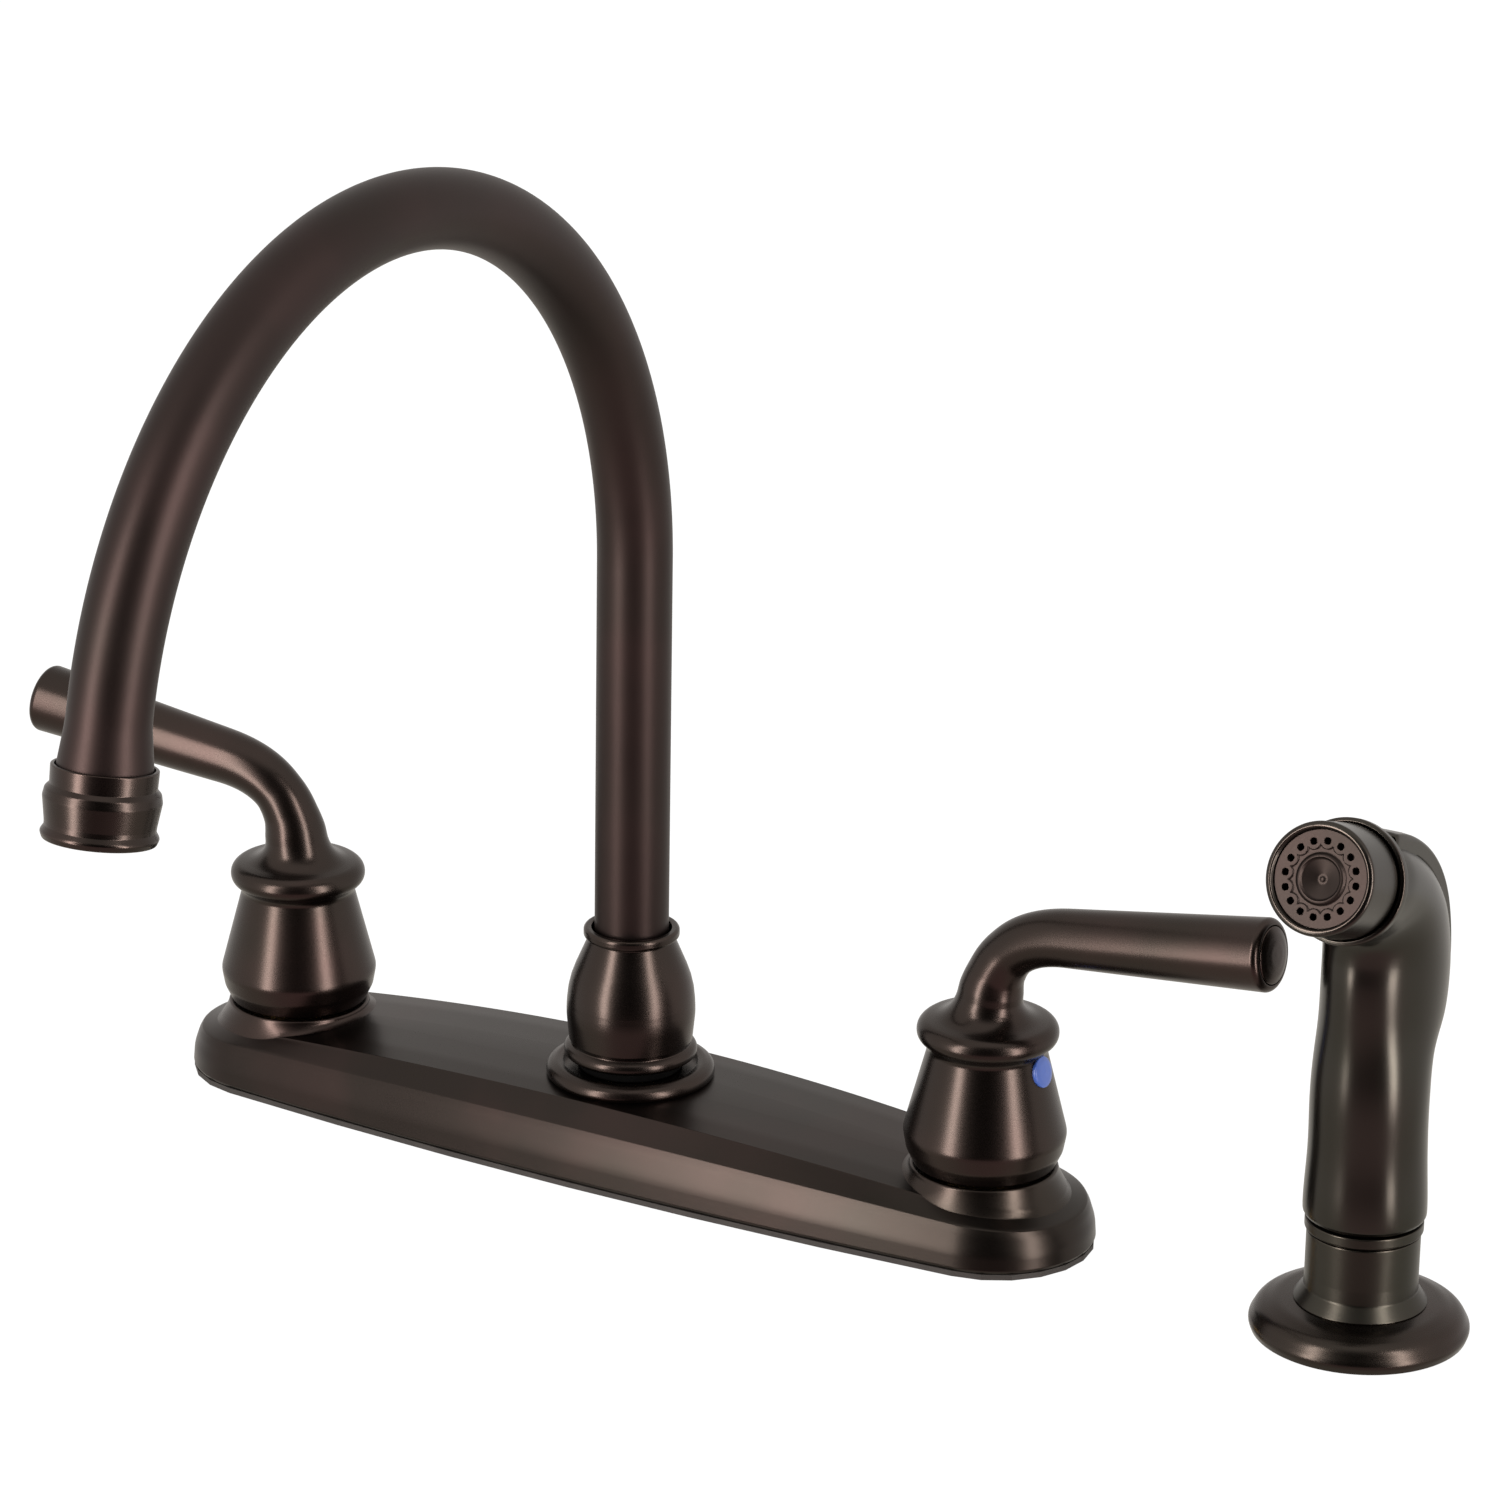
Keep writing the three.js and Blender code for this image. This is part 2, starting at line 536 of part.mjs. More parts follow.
/** The turning stem that the handle sits on; its head is notched like a spline. */
function stem() {
  const low = CARTRIDGE_BASE + SEAT + CARTRIDGE_FLOOR + SEAT;
  const shaft = bar(STEM_RADIUS, low, STEM_TOP, STEM_SIDES);
  const notches = 8;
  const grooveRadius = 0.7;
  const groove = bar(grooveRadius, BODY_TOP + BONNET_HEIGHT + 4, STEM_TOP + 1, 6);
  let body = shaft;
  for (let i = 0; i < notches; i += 1) {
    const turn = (2 * Math.PI * (i + 0.5)) / notches;
    const reach = STEM_RADIUS + 0.2;
    body = body.subtract(groove.translate(reach * Math.cos(turn), reach * Math.sin(turn), 0));
  }
  return body;
}

/** A lock nut with wings, as turned by hand under the deck. */
function shankNut(inner, height, wings) {
  const top = -DECK_THICKNESS - WASHER_THICKNESS - SEAT;
  const outer = inner + NUT_WALL;
  let nut = ring(inner, outer, top - height, top);
  const wing = new THREE.Shape();
  const reach = outer + WING_LENGTH;
  const [root, tip] = [0.7 * WING_THICKNESS, 0.5 * WING_THICKNESS];
  wing.moveTo(inner + NUT_WALL / 2, -root).lineTo(reach - tip, -tip);
  wing.quadraticCurveTo(reach, -tip, reach, 0).quadraticCurveTo(reach, tip, reach - tip, tip);
  wing.lineTo(inner + NUT_WALL / 2, root);
  const blade = pushed(wing, top - height, top - 0.2, 3);
  for (let i = 0; i < wings; i += 1) nut = nut.add(blade.rotate(0, 0, (360 * i) / wings));
  return nut;
}

const washer = (inner) => ring(inner, inner + WASHER_WIDTH,
  -DECK_THICKNESS - WASHER_THICKNESS, -DECK_THICKNESS);

function buildValve(name, side) {
  const group = new THREE.Group();
  group.position.set(side * HANDLE_X, 0, 0);
  add(group, `${name}_valve_body`, valveBody(side), BRASS());
  add(group, `${name}_cartridge`, cartridge(), GREY_PLASTIC());
  add(group, `${name}_bonnet_nut`, bonnetNut(), BRASS());
  add(group, `${name}_shank_washer`, washer(SHANK_RADIUS + SEAT), STEEL());
  const nut = shankNut(SHANK_RADIUS + SEAT, SHANK_NUT_HEIGHT, 4);
  add(group, `${name}_shank_nut`, nut, BLACK_PLASTIC());
  model.add(group);
  add(model, `${name}_feed_tube`, feedTube(side), COPPER());
}

// ---- handles ------------------------------------------------------------------------------
/** The bell, its flange and the dome that runs up into the lever's neck. */
function bell() {
  const beadTop = FLANGE_HEIGHT + 3.1;
  const neckTop = FLANGE_HEIGHT + 8;
  return turned((p) => p.moveTo(0, HANDLE_BASE)
    .lineTo(BELL_RADIUS - 2.9, HANDLE_BASE)
    .lineTo(BELL_RADIUS - 1.3, HANDLE_BASE + 2.2)
    .quadraticCurveTo(BELL_RADIUS, HANDLE_BASE + 4.4, BELL_RADIUS, BELL_WIDEST)
    .quadraticCurveTo(BELL_RADIUS - 0.2, BELL_WIDEST + 3, BELL_RADIUS - BELL_DRAW_IN, BELL_SHOULDER)
    .lineTo(BELL_NECK_RADIUS, BELL_TOP)
    .quadraticCurveTo(FLANGE_RADIUS, BELL_TOP + 0.3, FLANGE_RADIUS, FLANGE_HEIGHT)
    .quadraticCurveTo(FLANGE_RADIUS - 0.1, beadTop - 0.2, FLANGE_RADIUS - 3.2, beadTop)
    .quadraticCurveTo(LEVER_ROOT_RADIUS + 1.1, beadTop + 0.7, LEVER_ROOT_RADIUS + 0.2, neckTop)
    .lineTo(0, neckTop));
}

/** Where the lever's centreline runs: a bend out of the neck, then a straight that thickens. */
function leverStations() {
  const rise = degrees(LEVER_RISE);
  const root = new THREE.Vector2(0, FLANGE_HEIGHT + 3);
  const start = new THREE.Vector2(LEVER_BEND_REACH, LEVER_HEIGHT);
  const pull = 0.78 * LEVER_BEND_REACH;
  const bend = new THREE.CubicBezierCurve(root, new THREE.Vector2(0, LEVER_HEIGHT - 11.5),
    new THREE.Vector2(start.x - pull, start.y - pull * Math.tan(rise)), start);
  const steps = 7;
  const stations = [];
  for (let i = 0; i <= steps; i += 1) {
    const share = i / steps;
    const { x, y } = bend.getPoint(share);
    const along = bend.getTangent(share);
    const swell = LEVER_ROOT_RADIUS - LEVER_BEND_RADIUS;
    stations.push([x, y, Math.atan2(along.x, along.y), LEVER_BEND_RADIUS + swell * (1 - share) ** 2.4]);
  }
  const lean = Math.PI / 2 - rise;
  const climb = (reach, radius) => [reach, start.y + (reach - start.x) * Math.tan(rise), lean, radius];
  const roundOver = 1.4;
  stations.push(climb(LEVER_REACH - roundOver, LEVER_TIP_RADIUS));
  stations.push(climb(LEVER_REACH - 0.4 * roundOver, LEVER_TIP_RADIUS - 0.35 * roundOver));
  stations.push(climb(LEVER_REACH, LEVER_TIP_RADIUS - roundOver));
  return stations;
}

/** Bell and lever in one piece, with its hollow, the stem's socket and three pockets. */
function handleCasting() {
  const hollowTop = FLANGE_HEIGHT - 16;
  const inside = BELL_RADIUS - BELL_WALL - 1.6;
  const hollow = turned((p) => p.moveTo(0, HANDLE_BASE - 1)
    .lineTo(inside, HANDLE_BASE - 1)
    .lineTo(inside, BELL_WIDEST)
    .lineTo(inside - 2.8, hollowTop)
    .lineTo(0, hollowTop));
  const socket = bar(STEM_RADIUS + SEAT, HANDLE_BASE, STEM_TOP + SEAT, STEM_SIDES);
  const capPocket = placed(bar(LEVER_CAP_RADIUS + SEAT, -CAP_DEPTH - SEAT, 2, SMALL_ROUND),
    LEVER_END, LEVER_OUT);
  const screwHole = placed(bar(SCREW_RADIUS + SEAT, -BUTTON_REACH, 2, SMALL_ROUND),
    BUTTON_PLACE, BUTTON_OUT);
  const buttonPocket = placed(bar(BUTTON_RADIUS + SEAT, -BUTTON_DEPTH - SEAT, 4, SMALL_ROUND),
    BUTTON_PLACE, BUTTON_OUT);
  return bell().add(bentBar(leverStations(), TUBE_SIDES))
    .subtract(hollow).subtract(socket).subtract(capPocket).subtract(screwHole).subtract(buttonPocket);
}

/** The domed plug in the lever's end. */
function leverCap() {
  return placed(turned((p) => p.moveTo(0, -CAP_DEPTH)
    .lineTo(LEVER_CAP_RADIUS, -CAP_DEPTH)
    .lineTo(LEVER_CAP_RADIUS, -0.3)
    .quadraticCurveTo(LEVER_CAP_RADIUS - 0.5, 0.8 * CAP_DOME, 0, CAP_DOME), SMALL_ROUND, 3),
  LEVER_END, LEVER_OUT);
}

/** The coloured index button that covers the set screw. */
function indexButton() {
  return placed(turned((p) => p.moveTo(0, -BUTTON_DEPTH)
    .lineTo(BUTTON_RADIUS, -BUTTON_DEPTH)
    .lineTo(BUTTON_RADIUS, 0.2)
    .quadraticCurveTo(BUTTON_RADIUS - 0.4, BUTTON_DOME, 0, BUTTON_DOME), SMALL_ROUND, 3),
  BUTTON_PLACE, BUTTON_OUT);
}

/** The set screw, from under the button to the stem, with a hexagonal socket. */
function setScrew() {
  const out = -BUTTON_DEPTH - 1.2;
  const inTo = -(BUTTON_REACH - STEM_RADIUS) / Math.cos(BELL_SLOPE) + 1.3;
  const socket = pushed(polygon(SCREW_RADIUS, 6), out - SCREW_RADIUS, out + 1);
  const shaft = bar(SCREW_RADIUS, inTo, out, SMALL_ROUND).subtract(socket);
  return placed(shaft, BUTTON_PLACE, BUTTON_OUT);
}

function buildHandle(name, side, yaw, indexFinish) {
  const group = new THREE.Group();
  group.position.set(side * HANDLE_X, 0, 0);
  group.rotation.z = degrees(yaw);
  add(group, `${name}_handle`, handleCasting(), BRONZE());
  add(group, `${name}_handle_cap`, leverCap(), BRONZE());
  add(group, `${name}_index_button`, indexButton(), indexFinish);
  add(group, `${name}_set_screw`, setScrew(), STEEL());
  add(group, `${name}_stem`, stem(), BRASS());
  model.add(group);
}

// ---- spout --------------------------------------------------------------------------------
/** The fixed brass post: bore for the spout, diverter chamber and the sprayer's outlet below. */
function spoutPost() {
  const outside = turned((p) => p.moveTo(0, -NIPPLE_LENGTH)
    .lineTo(NIPPLE_RADIUS - 0.8, -NIPPLE_LENGTH)
    .lineTo(NIPPLE_RADIUS, 0.8 - NIPPLE_LENGTH)
    .lineTo(NIPPLE_RADIUS, CHAMBER_BASE - 1)
    .lineTo(POST_RADIUS, CHAMBER_BASE - 1)
    .lineTo(POST_RADIUS, POST_TOP)
    .lineTo(0, POST_TOP));
  const bore = bar(POST_BORE, CHAMBER_FLOOR, POST_TOP + 1);
  const outlet = bar(NIPPLE_BORE, -NIPPLE_LENGTH - 1, CHAMBER_FLOOR + 1, BORE_SIDES);
  let post = outside.subtract(bore).subtract(outlet);
  for (const side of [-1, 1]) {
    post = post.subtract(placed(bar(FEED_TUBE_RADIUS + SEAT, 0, POST_RADIUS, SMALL_ROUND),
      [side * (POST_BORE - 1), 0, FEED_TUBE_HEIGHT], [0, side * 90, 0]));
  }
  return post;
}

/** The diverter's cage, pressed into the post above the cross tubes. */
function diverterCage() {
  const low = FEED_TUBE_HEIGHT + FEED_TUBE_RADIUS + 0.4;
  return turned((p) => p.moveTo(DIVERTER_RADIUS + RUNNING, low)
    .lineTo(POST_BORE - SEAT, low)
    .lineTo(POST_BORE - SEAT, DIVERTER_TOP)
    .lineTo(DIVERTER_RADIUS + RUNNING, DIVERTER_TOP)
    .lineTo(DIVERTER_RADIUS + RUNNING, low), SMALL_ROUND);
}

/** The sliding piston of the diverter, with a guide stem below its head. */
function diverterPiston() {
  const head = DIVERTER_TOP - DIVERTER_HEAD;
  const stemRadius = 1.6;
  const stemFoot = head - 6;
  return turned((p) => p.moveTo(0, stemFoot)
    .lineTo(stemRadius, stemFoot)
    .lineTo(stemRadius, head)
    .lineTo(DIVERTER_RADIUS, head)
    .lineTo(DIVERTER_RADIUS, DIVERTER_TOP - 0.8)
    .lineTo(DIVERTER_RADIUS - 0.8, DIVERTER_TOP)
    .lineTo(0, DIVERTER_TOP), SMALL_ROUND);
}

/** One unbroken helical spring of round wire. */
function spring(radius, wire, low, high, turns) {
  const steps = turns * 7;
  const sides = 4;
  const lead = (high - low - 2 * wire) / turns;
  const slope = Math.atan2(lead, 2 * Math.PI * radius);
  const rings = [];
  for (let i = 0; i <= steps; i += 1) {
    const turn = (2 * Math.PI * turns * i) / steps;
    const out = new THREE.Vector3(Math.cos(turn), Math.sin(turn), 0);
    const up = new THREE.Vector3(0, 0, Math.cos(slope));
    up.x = Math.sin(turn) * Math.sin(slope);
    up.y = -Math.cos(turn) * Math.sin(slope);
    const centre = out.clone().multiplyScalar(radius).setZ(low + wire + (lead * turn) / (2 * Math.PI));
    rings.push(Array.from({ length: sides }, (_, j) => {
      const spin = (2 * Math.PI * j) / sides;
      return centre.clone()
        .addScaledVector(out, wire * Math.cos(spin))
        .addScaledVector(up, wire * Math.sin(spin));
    }));
  }
  return lofted(rings);
}

/** The diverter's return spring, between the chamber's floor and the piston's head. */
function diverterSpring() {
  const [radius, wire, turns] = [3.9, 0.4, 5];
  const top = DIVERTER_TOP - DIVERTER_HEAD - DIVERTER_TRAVEL;
  return spring(radius, wire, CHAMBER_FLOOR + SEAT, top - SEAT, turns);
}

/** Stations of the spout's centreline as [reach, height, lean, radius], with a radius for each place. */
function spoutStations(foot, spigot, radius, flare, mouth) {
  const sweep = degrees(ARCH_SWEEP);
  const step = POST_TOP + 2;
  const stations = [[0, foot, 0, spigot], [0, step, 0, spigot], [0, step + 0.6, 0, radius]];
  for (let i = 0; i <= ARCH_STEPS; i += 1) {
    const turn = (sweep * i) / ARCH_STEPS;
    const reach = ARCH_RADIUS * (1 - Math.cos(turn));
    stations.push([reach, ARCH_START + ARCH_RADIUS * Math.sin(turn), turn, radius]);
  }
  const [reach, height] = stations.at(-1);
  const beyond = (distance, size) =>
    stations.push([reach + distance * Math.sin(sweep), height + distance * Math.cos(sweep), sweep, size]);
  beyond(mouth - 6, radius);
  beyond(mouth - 2, radius + 0.45 * flare);
  beyond(mouth, radius + flare);
  return stations;
}

/** The bent tube, drawn in the XZ plane and turned so that it points along -Y. */
function spoutTube() {
  const outer = spoutStations(SPIGOT_BASE, SPIGOT_RADIUS, TUBE_RADIUS, TUBE_FLARE, TUBE_END);
  const inner = TUBE_RADIUS - TUBE_WALL;
  const spigotBore = SPIGOT_RADIUS - 2.4;
  const bore = spoutStations(SPIGOT_BASE - 1, spigotBore, inner, TUBE_FLARE, TUBE_END + 0.5);
  let tube = bentBar(outer, TUBE_SIDES).subtract(bentBar(bore, BORE_SIDES));
  for (const height of O_RING_HEIGHTS) {
    tube = tube.subtract(ring(SPIGOT_RADIUS - O_RING_GROOVE, SPIGOT_RADIUS + 1,
      height - O_RING_WIRE - 0.1, height + O_RING_WIRE + 0.1, TUBE_SIDES));
  }
  return tube.rotate(0, 0, -90);
}

/** A rubber ring in one of the spigot's grooves. */
function oRing(height) {
  const radius = SPIGOT_RADIUS - O_RING_GROOVE + O_RING_WIRE + 0.1;
  return roundRing(radius, O_RING_WIRE, height, TUBE_SIDES);
}

/** The turned barrel over the foot of the tube: bead, barrel and rim. */
function spoutHub() {
  const rimLow = HUB_RIM_HEIGHT - HUB_RIM_BEAD;
  const inner = TUBE_RADIUS + 0.5;
  const socket = POST_RADIUS + RUNNING;
  return turned((p) => p.moveTo(socket, HUB_BOTTOM)
    .lineTo(HUB_BEAD_RADIUS - 1.2, HUB_BOTTOM)
    .quadraticCurveTo(HUB_BEAD_RADIUS, HUB_BOTTOM + 0.1, HUB_BEAD_RADIUS, HUB_BOTTOM + 1.2)
    .quadraticCurveTo(HUB_BEAD_RADIUS - 0.1, HUB_BOTTOM + 2.6, HUB_BEAD_RADIUS - 1.4, HUB_BOTTOM + 3.1)
    .lineTo(HUB_RADIUS - 0.8, HUB_BOTTOM + 3.8)
    .quadraticCurveTo(HUB_RADIUS, HUB_WIDEST - 6, HUB_RADIUS, HUB_WIDEST)
    .quadraticCurveTo(HUB_RADIUS - 0.2, HUB_WIDEST + 10, HUB_RIM_RADIUS - 1.1, rimLow)
    .absarc(HUB_RIM_RADIUS - HUB_RIM_BEAD, HUB_RIM_HEIGHT, HUB_RIM_BEAD, -Math.PI / 2, Math.PI / 2)
    .lineTo(inner + 0.3, HUB_RIM_HEIGHT + 0.9)
    .lineTo(inner, HUB_RIM_HEIGHT - 2)
    .lineTo(inner, POST_TOP + 3)
    .lineTo(socket, POST_TOP + 1)
    .lineTo(socket, HUB_BOTTOM));
}

/** The low friction ring that the hub turns on. */
function glideRing() {
  const land = BASE_RING_TOP - 1.6;
  return ring(POST_RADIUS + RUNNING, HUB_BEAD_RADIUS - 2, land + SEAT, HUB_BOTTOM - SEAT);
}

/** Turns a piece drawn with its mouth at z = 0, opening down, to the end of the spout. */
function atOutlet(body) {
  const sweep = degrees(ARCH_SWEEP);
  const reach = ARCH_RADIUS * (1 - Math.cos(sweep)) + OUTLET_DROP * Math.sin(sweep);
  const height = ARCH_START + ARCH_RADIUS * Math.sin(sweep) + OUTLET_DROP * Math.cos(sweep);
  return placed(body, [0, -reach, height], [ARCH_SWEEP - 180, 0, 0]);
}

/** The outlet's housing: collar, belly, tapered band and bottom lip. */
function aeratorHousing() {
  const top = AERATOR_LENGTH;
  const neck = TUBE_RADIUS + TUBE_FLARE + SEAT;
  const shelf = top - 2;
  const throat = TUBE_RADIUS - TUBE_WALL + 0.6;
  return atOutlet(turned((p) => p.moveTo(AERATOR_BORE, 0)
    .lineTo(AERATOR_LIP_RADIUS - 0.9, 0)
    .quadraticCurveTo(AERATOR_LIP_RADIUS, 0.1, AERATOR_LIP_RADIUS, 1.3)
    .quadraticCurveTo(AERATOR_LIP_RADIUS - 0.1, 2.2, AERATOR_WAIST_RADIUS, 3.2)
    .lineTo(AERATOR_BELLY_RADIUS, 8.6)
    .quadraticCurveTo(AERATOR_BELLY_RADIUS + 0.1, 10.4, AERATOR_COLLAR_RADIUS + 0.5, 11.4)
    .lineTo(AERATOR_COLLAR_RADIUS, 12)
    .lineTo(AERATOR_COLLAR_RADIUS + 0.1, top - 0.5)
    .lineTo(AERATOR_COLLAR_RADIUS - 0.3, top)
    .lineTo(neck, top)
    .lineTo(neck, shelf)
    .lineTo(throat, shelf - 0.3)
    .lineTo(throat, shelf - 2)
    .lineTo(AERATOR_BORE, shelf - 2.2)
    .lineTo(AERATOR_BORE, 0), ROUND, 3));
}

/** The aerator's cage, with a ring of slots round a centre hub. */
function aeratorInsert() {
  const low = 1.2;
  const height = 7;
  const shape = polygon(2 * AERATOR_INSERT_RADIUS, ROUND);
  const spokes = 6;
  const halfSpoke = 0.14;
  const rim = 2;
  const slotWidth = 4;
  for (let i = 0; i < spokes; i += 1) {
    const slot = new THREE.Path();
    const from = (2 * Math.PI * i) / spokes + halfSpoke;
    const to = (2 * Math.PI * (i + 1)) / spokes - halfSpoke;
    slot.absarc(0, 0, AERATOR_INSERT_RADIUS - rim, from, to, false);
    slot.absarc(0, 0, AERATOR_INSERT_RADIUS - rim - slotWidth, to, from, true);
    shape.holes.push(slot);
  }
  return atOutlet(pushed(shape, low, low + height));
}

/** The rubber washer between the aerator and its housing. */
function aeratorWasher() {
  const [low, high] = [8.4, 10.2];
  return atOutlet(ring(AERATOR_BORE - 4, AERATOR_INSERT_RADIUS, low, high, SMALL_ROUND));
}

function buildSpout() {
  add(model, 'spout_base_ring', spoutBaseRing(), BRONZE());
  add(model, 'spout_post', spoutPost(), BRASS());
  add(model, 'diverter_cage', diverterCage(), GREY_PLASTIC());
  add(model, 'diverter_piston', diverterPiston(), BLACK_PLASTIC());
  add(model, 'diverter_spring', diverterSpring(), STEEL());
  add(model, 'spout_glide_ring', glideRing(), BLACK_PLASTIC());
  add(model, 'spout_hub', spoutHub(), BRONZE());
  add(model, 'spout_tube', spoutTube(), BRONZE());
  add(model, 'spout_o_ring_lower', oRing(O_RING_HEIGHTS[0]), RUBBER());
  add(model, 'spout_o_ring_upper', oRing(O_RING_HEIGHTS[1]), RUBBER());
  add(model, 'aerator_housing', aeratorHousing(), BRONZE());
  add(model, 'aerator_insert', aeratorInsert(), GREY_PLASTIC());
  add(model, 'aerator_washer', aeratorWasher(), RUBBER());
}

// ---- sprayer ------------------------------------------------------------------------------
/** The domed ring on the deck. */
function sprayerEscutcheon() {
  const inner = GUIDE_RADIUS - RUNNING;
  const dome = GUIDE_FLARE_RADIUS + 4.4;
  return turned((p) => p.moveTo(inner, 0)
    .lineTo(ESCUTCHEON_RADIUS - 1.2, 0)
    .quadraticCurveTo(ESCUTCHEON_RADIUS, 0.4, ESCUTCHEON_RADIUS, 2.2)
    .quadraticCurveTo(ESCUTCHEON_RADIUS - 0.8, ESCUTCHEON_HEIGHT - 3.2, dome, ESCUTCHEON_HEIGHT - 1)
    .lineTo(GUIDE_FLARE_RADIUS + 0.4, ESCUTCHEON_HEIGHT)
    .lineTo(inner, ESCUTCHEON_HEIGHT - 1.2)
    .lineTo(inner, 0));
}

/** The fixed guide: flared foot, cup for the sprayer and the threaded shank through the deck. */
function sprayerGuide() {
  const low = ESCUTCHEON_HEIGHT - 1.2 + SEAT;
  return turned((p) => p.moveTo(GUIDE_BORE, -GUIDE_SHANK_LENGTH)
    .lineTo(GUIDE_SHANK_RADIUS, -GUIDE_SHANK_LENGTH)
    .lineTo(GUIDE_SHANK_RADIUS, low)
    .lineTo(GUIDE_RADIUS + 0.8, low + 1)
    .lineTo(GUIDE_FLARE_RADIUS, ESCUTCHEON_HEIGHT + 0.6)
    .lineTo(GUIDE_FLARE_RADIUS - 0.2, ESCUTCHEON_HEIGHT + 1.2)
    .quadraticCurveTo(GUIDE_RADIUS + 0.4, ESCUTCHEON_HEIGHT + 2, GUIDE_RADIUS, ESCUTCHEON_HEIGHT + 4)
    .lineTo(GUIDE_RADIUS, GUIDE_TOP)
    .lineTo(GUIDE_BORE + 0.6, GUIDE_TOP)
    .lineTo(GUIDE_BORE, GUIDE_TOP - 1)
    .lineTo(GUIDE_BORE, -GUIDE_SHANK_LENGTH));
}

/** The thin ring at the bottom of the sprayer's handle. */
function sprayerFerrule() {
  const inner = SPRAYER_CHAMBER_RADIUS + SEAT;
  const outer = GUIDE_RADIUS + 0.5;
  return turned((p) => p.moveTo(inner, FERRULE_BASE)
    .lineTo(outer - 0.8, FERRULE_BASE)
    .lineTo(outer, FERRULE_BASE + 0.7)
    .lineTo(outer, FERRULE_TOP)
    .lineTo(inner, FERRULE_TOP)
    .lineTo(inner, FERRULE_BASE));
}

/** The hose connector: a taper that centres the sprayer in its guide, and a stub for the hose. */
function hoseConnector() {
  const [bore, stub, low] = [2.6, 4.6, 2];
  const outer = SPRAYER_CHAMBER_RADIUS;
  const shoulder = FERRULE_BASE - SEAT;
  const top = GRIP_BASE + 8;
  return turned((p) => p.moveTo(bore, low)
    .lineTo(stub, low)
    .lineTo(stub, low + 7)
    .lineTo(CONNECTOR_RADIUS - 1.6, low + 9)
    .lineTo(CONNECTOR_RADIUS, shoulder - 6)
    .lineTo(CONNECTOR_RADIUS, shoulder)
    .lineTo(outer, shoulder)
    .lineTo(outer - SEAT, shoulder)
    .lineTo(outer - SEAT, top)
    .lineTo(bore, top)
    .lineTo(bore, low), SMALL_ROUND + 4);
}

/** Points of one level ring of the sprayer's handle: half width, half depth and where its middle is. */
function gripRing(height, width, depth, middle) {
  const sides = 20;
  return Array.from({ length: sides }, (_, j) => {
    const turn = (2 * Math.PI * j) / sides;
    return new THREE.Vector3(width * Math.cos(turn), middle + depth * Math.sin(turn), height);
  });
}

/** Turns a piece drawn along Z so that it looks out of the spray head; z = 0 is the collar. */
const atHead = (body) => placed(body, [0, ...HEAD_CENTRE], [90 - HEAD_TILT, 0, 0]);

/** A strip in the YZ plane along the trigger's arc, between two radii, pushed along X. */
function arcStrip(outer, inner, width, margin) {
  const [y, z] = TRIGGER_CENTRE;
  const from = -margin / TRIGGER_RADIUS;
  const to = degrees(TRIGGER_SWEEP) + margin / TRIGGER_RADIUS;
  const shape = new THREE.Shape();
  shape.absarc(y, z, outer, from, to, false);
  shape.absarc(y, z, inner, to, from, true);
  return pushed(shape, -width / 2, width / 2, 5).rotate(0, 90, 0).rotate(90, 0, 0);
}

/** A round bar along X at the trigger's pivot. */
const pivotBar = (radius, reach, sides) =>
  placed(bar(radius, -reach, reach, sides), [0, ...TRIGGER_PIVOT], [0, 90, 0]);

/** The thumb lever over the back of the head. */
function trigger() {
  return arcStrip(TRIGGER_RADIUS, TRIGGER_INNER, TRIGGER_WIDTH, 0)
    .add(pivotBar(TRIGGER_EAR, TRIGGER_WIDTH / 2, SMALL_ROUND))
    .subtract(pivotBar(PIN_RADIUS + RUNNING / 2, TRIGGER_WIDTH, BORE_SIDES));
}

/** How far back the handle's shoulder reaches at a height, just inside the trigger's arc. */
function shoulder(height) {
  const radius = TRIGGER_RADIUS - SHOULDER_DEPTH;
  return TRIGGER_CENTRE[0] + Math.sqrt(radius ** 2 - (height - TRIGGER_CENTRE[1]) ** 2);
}

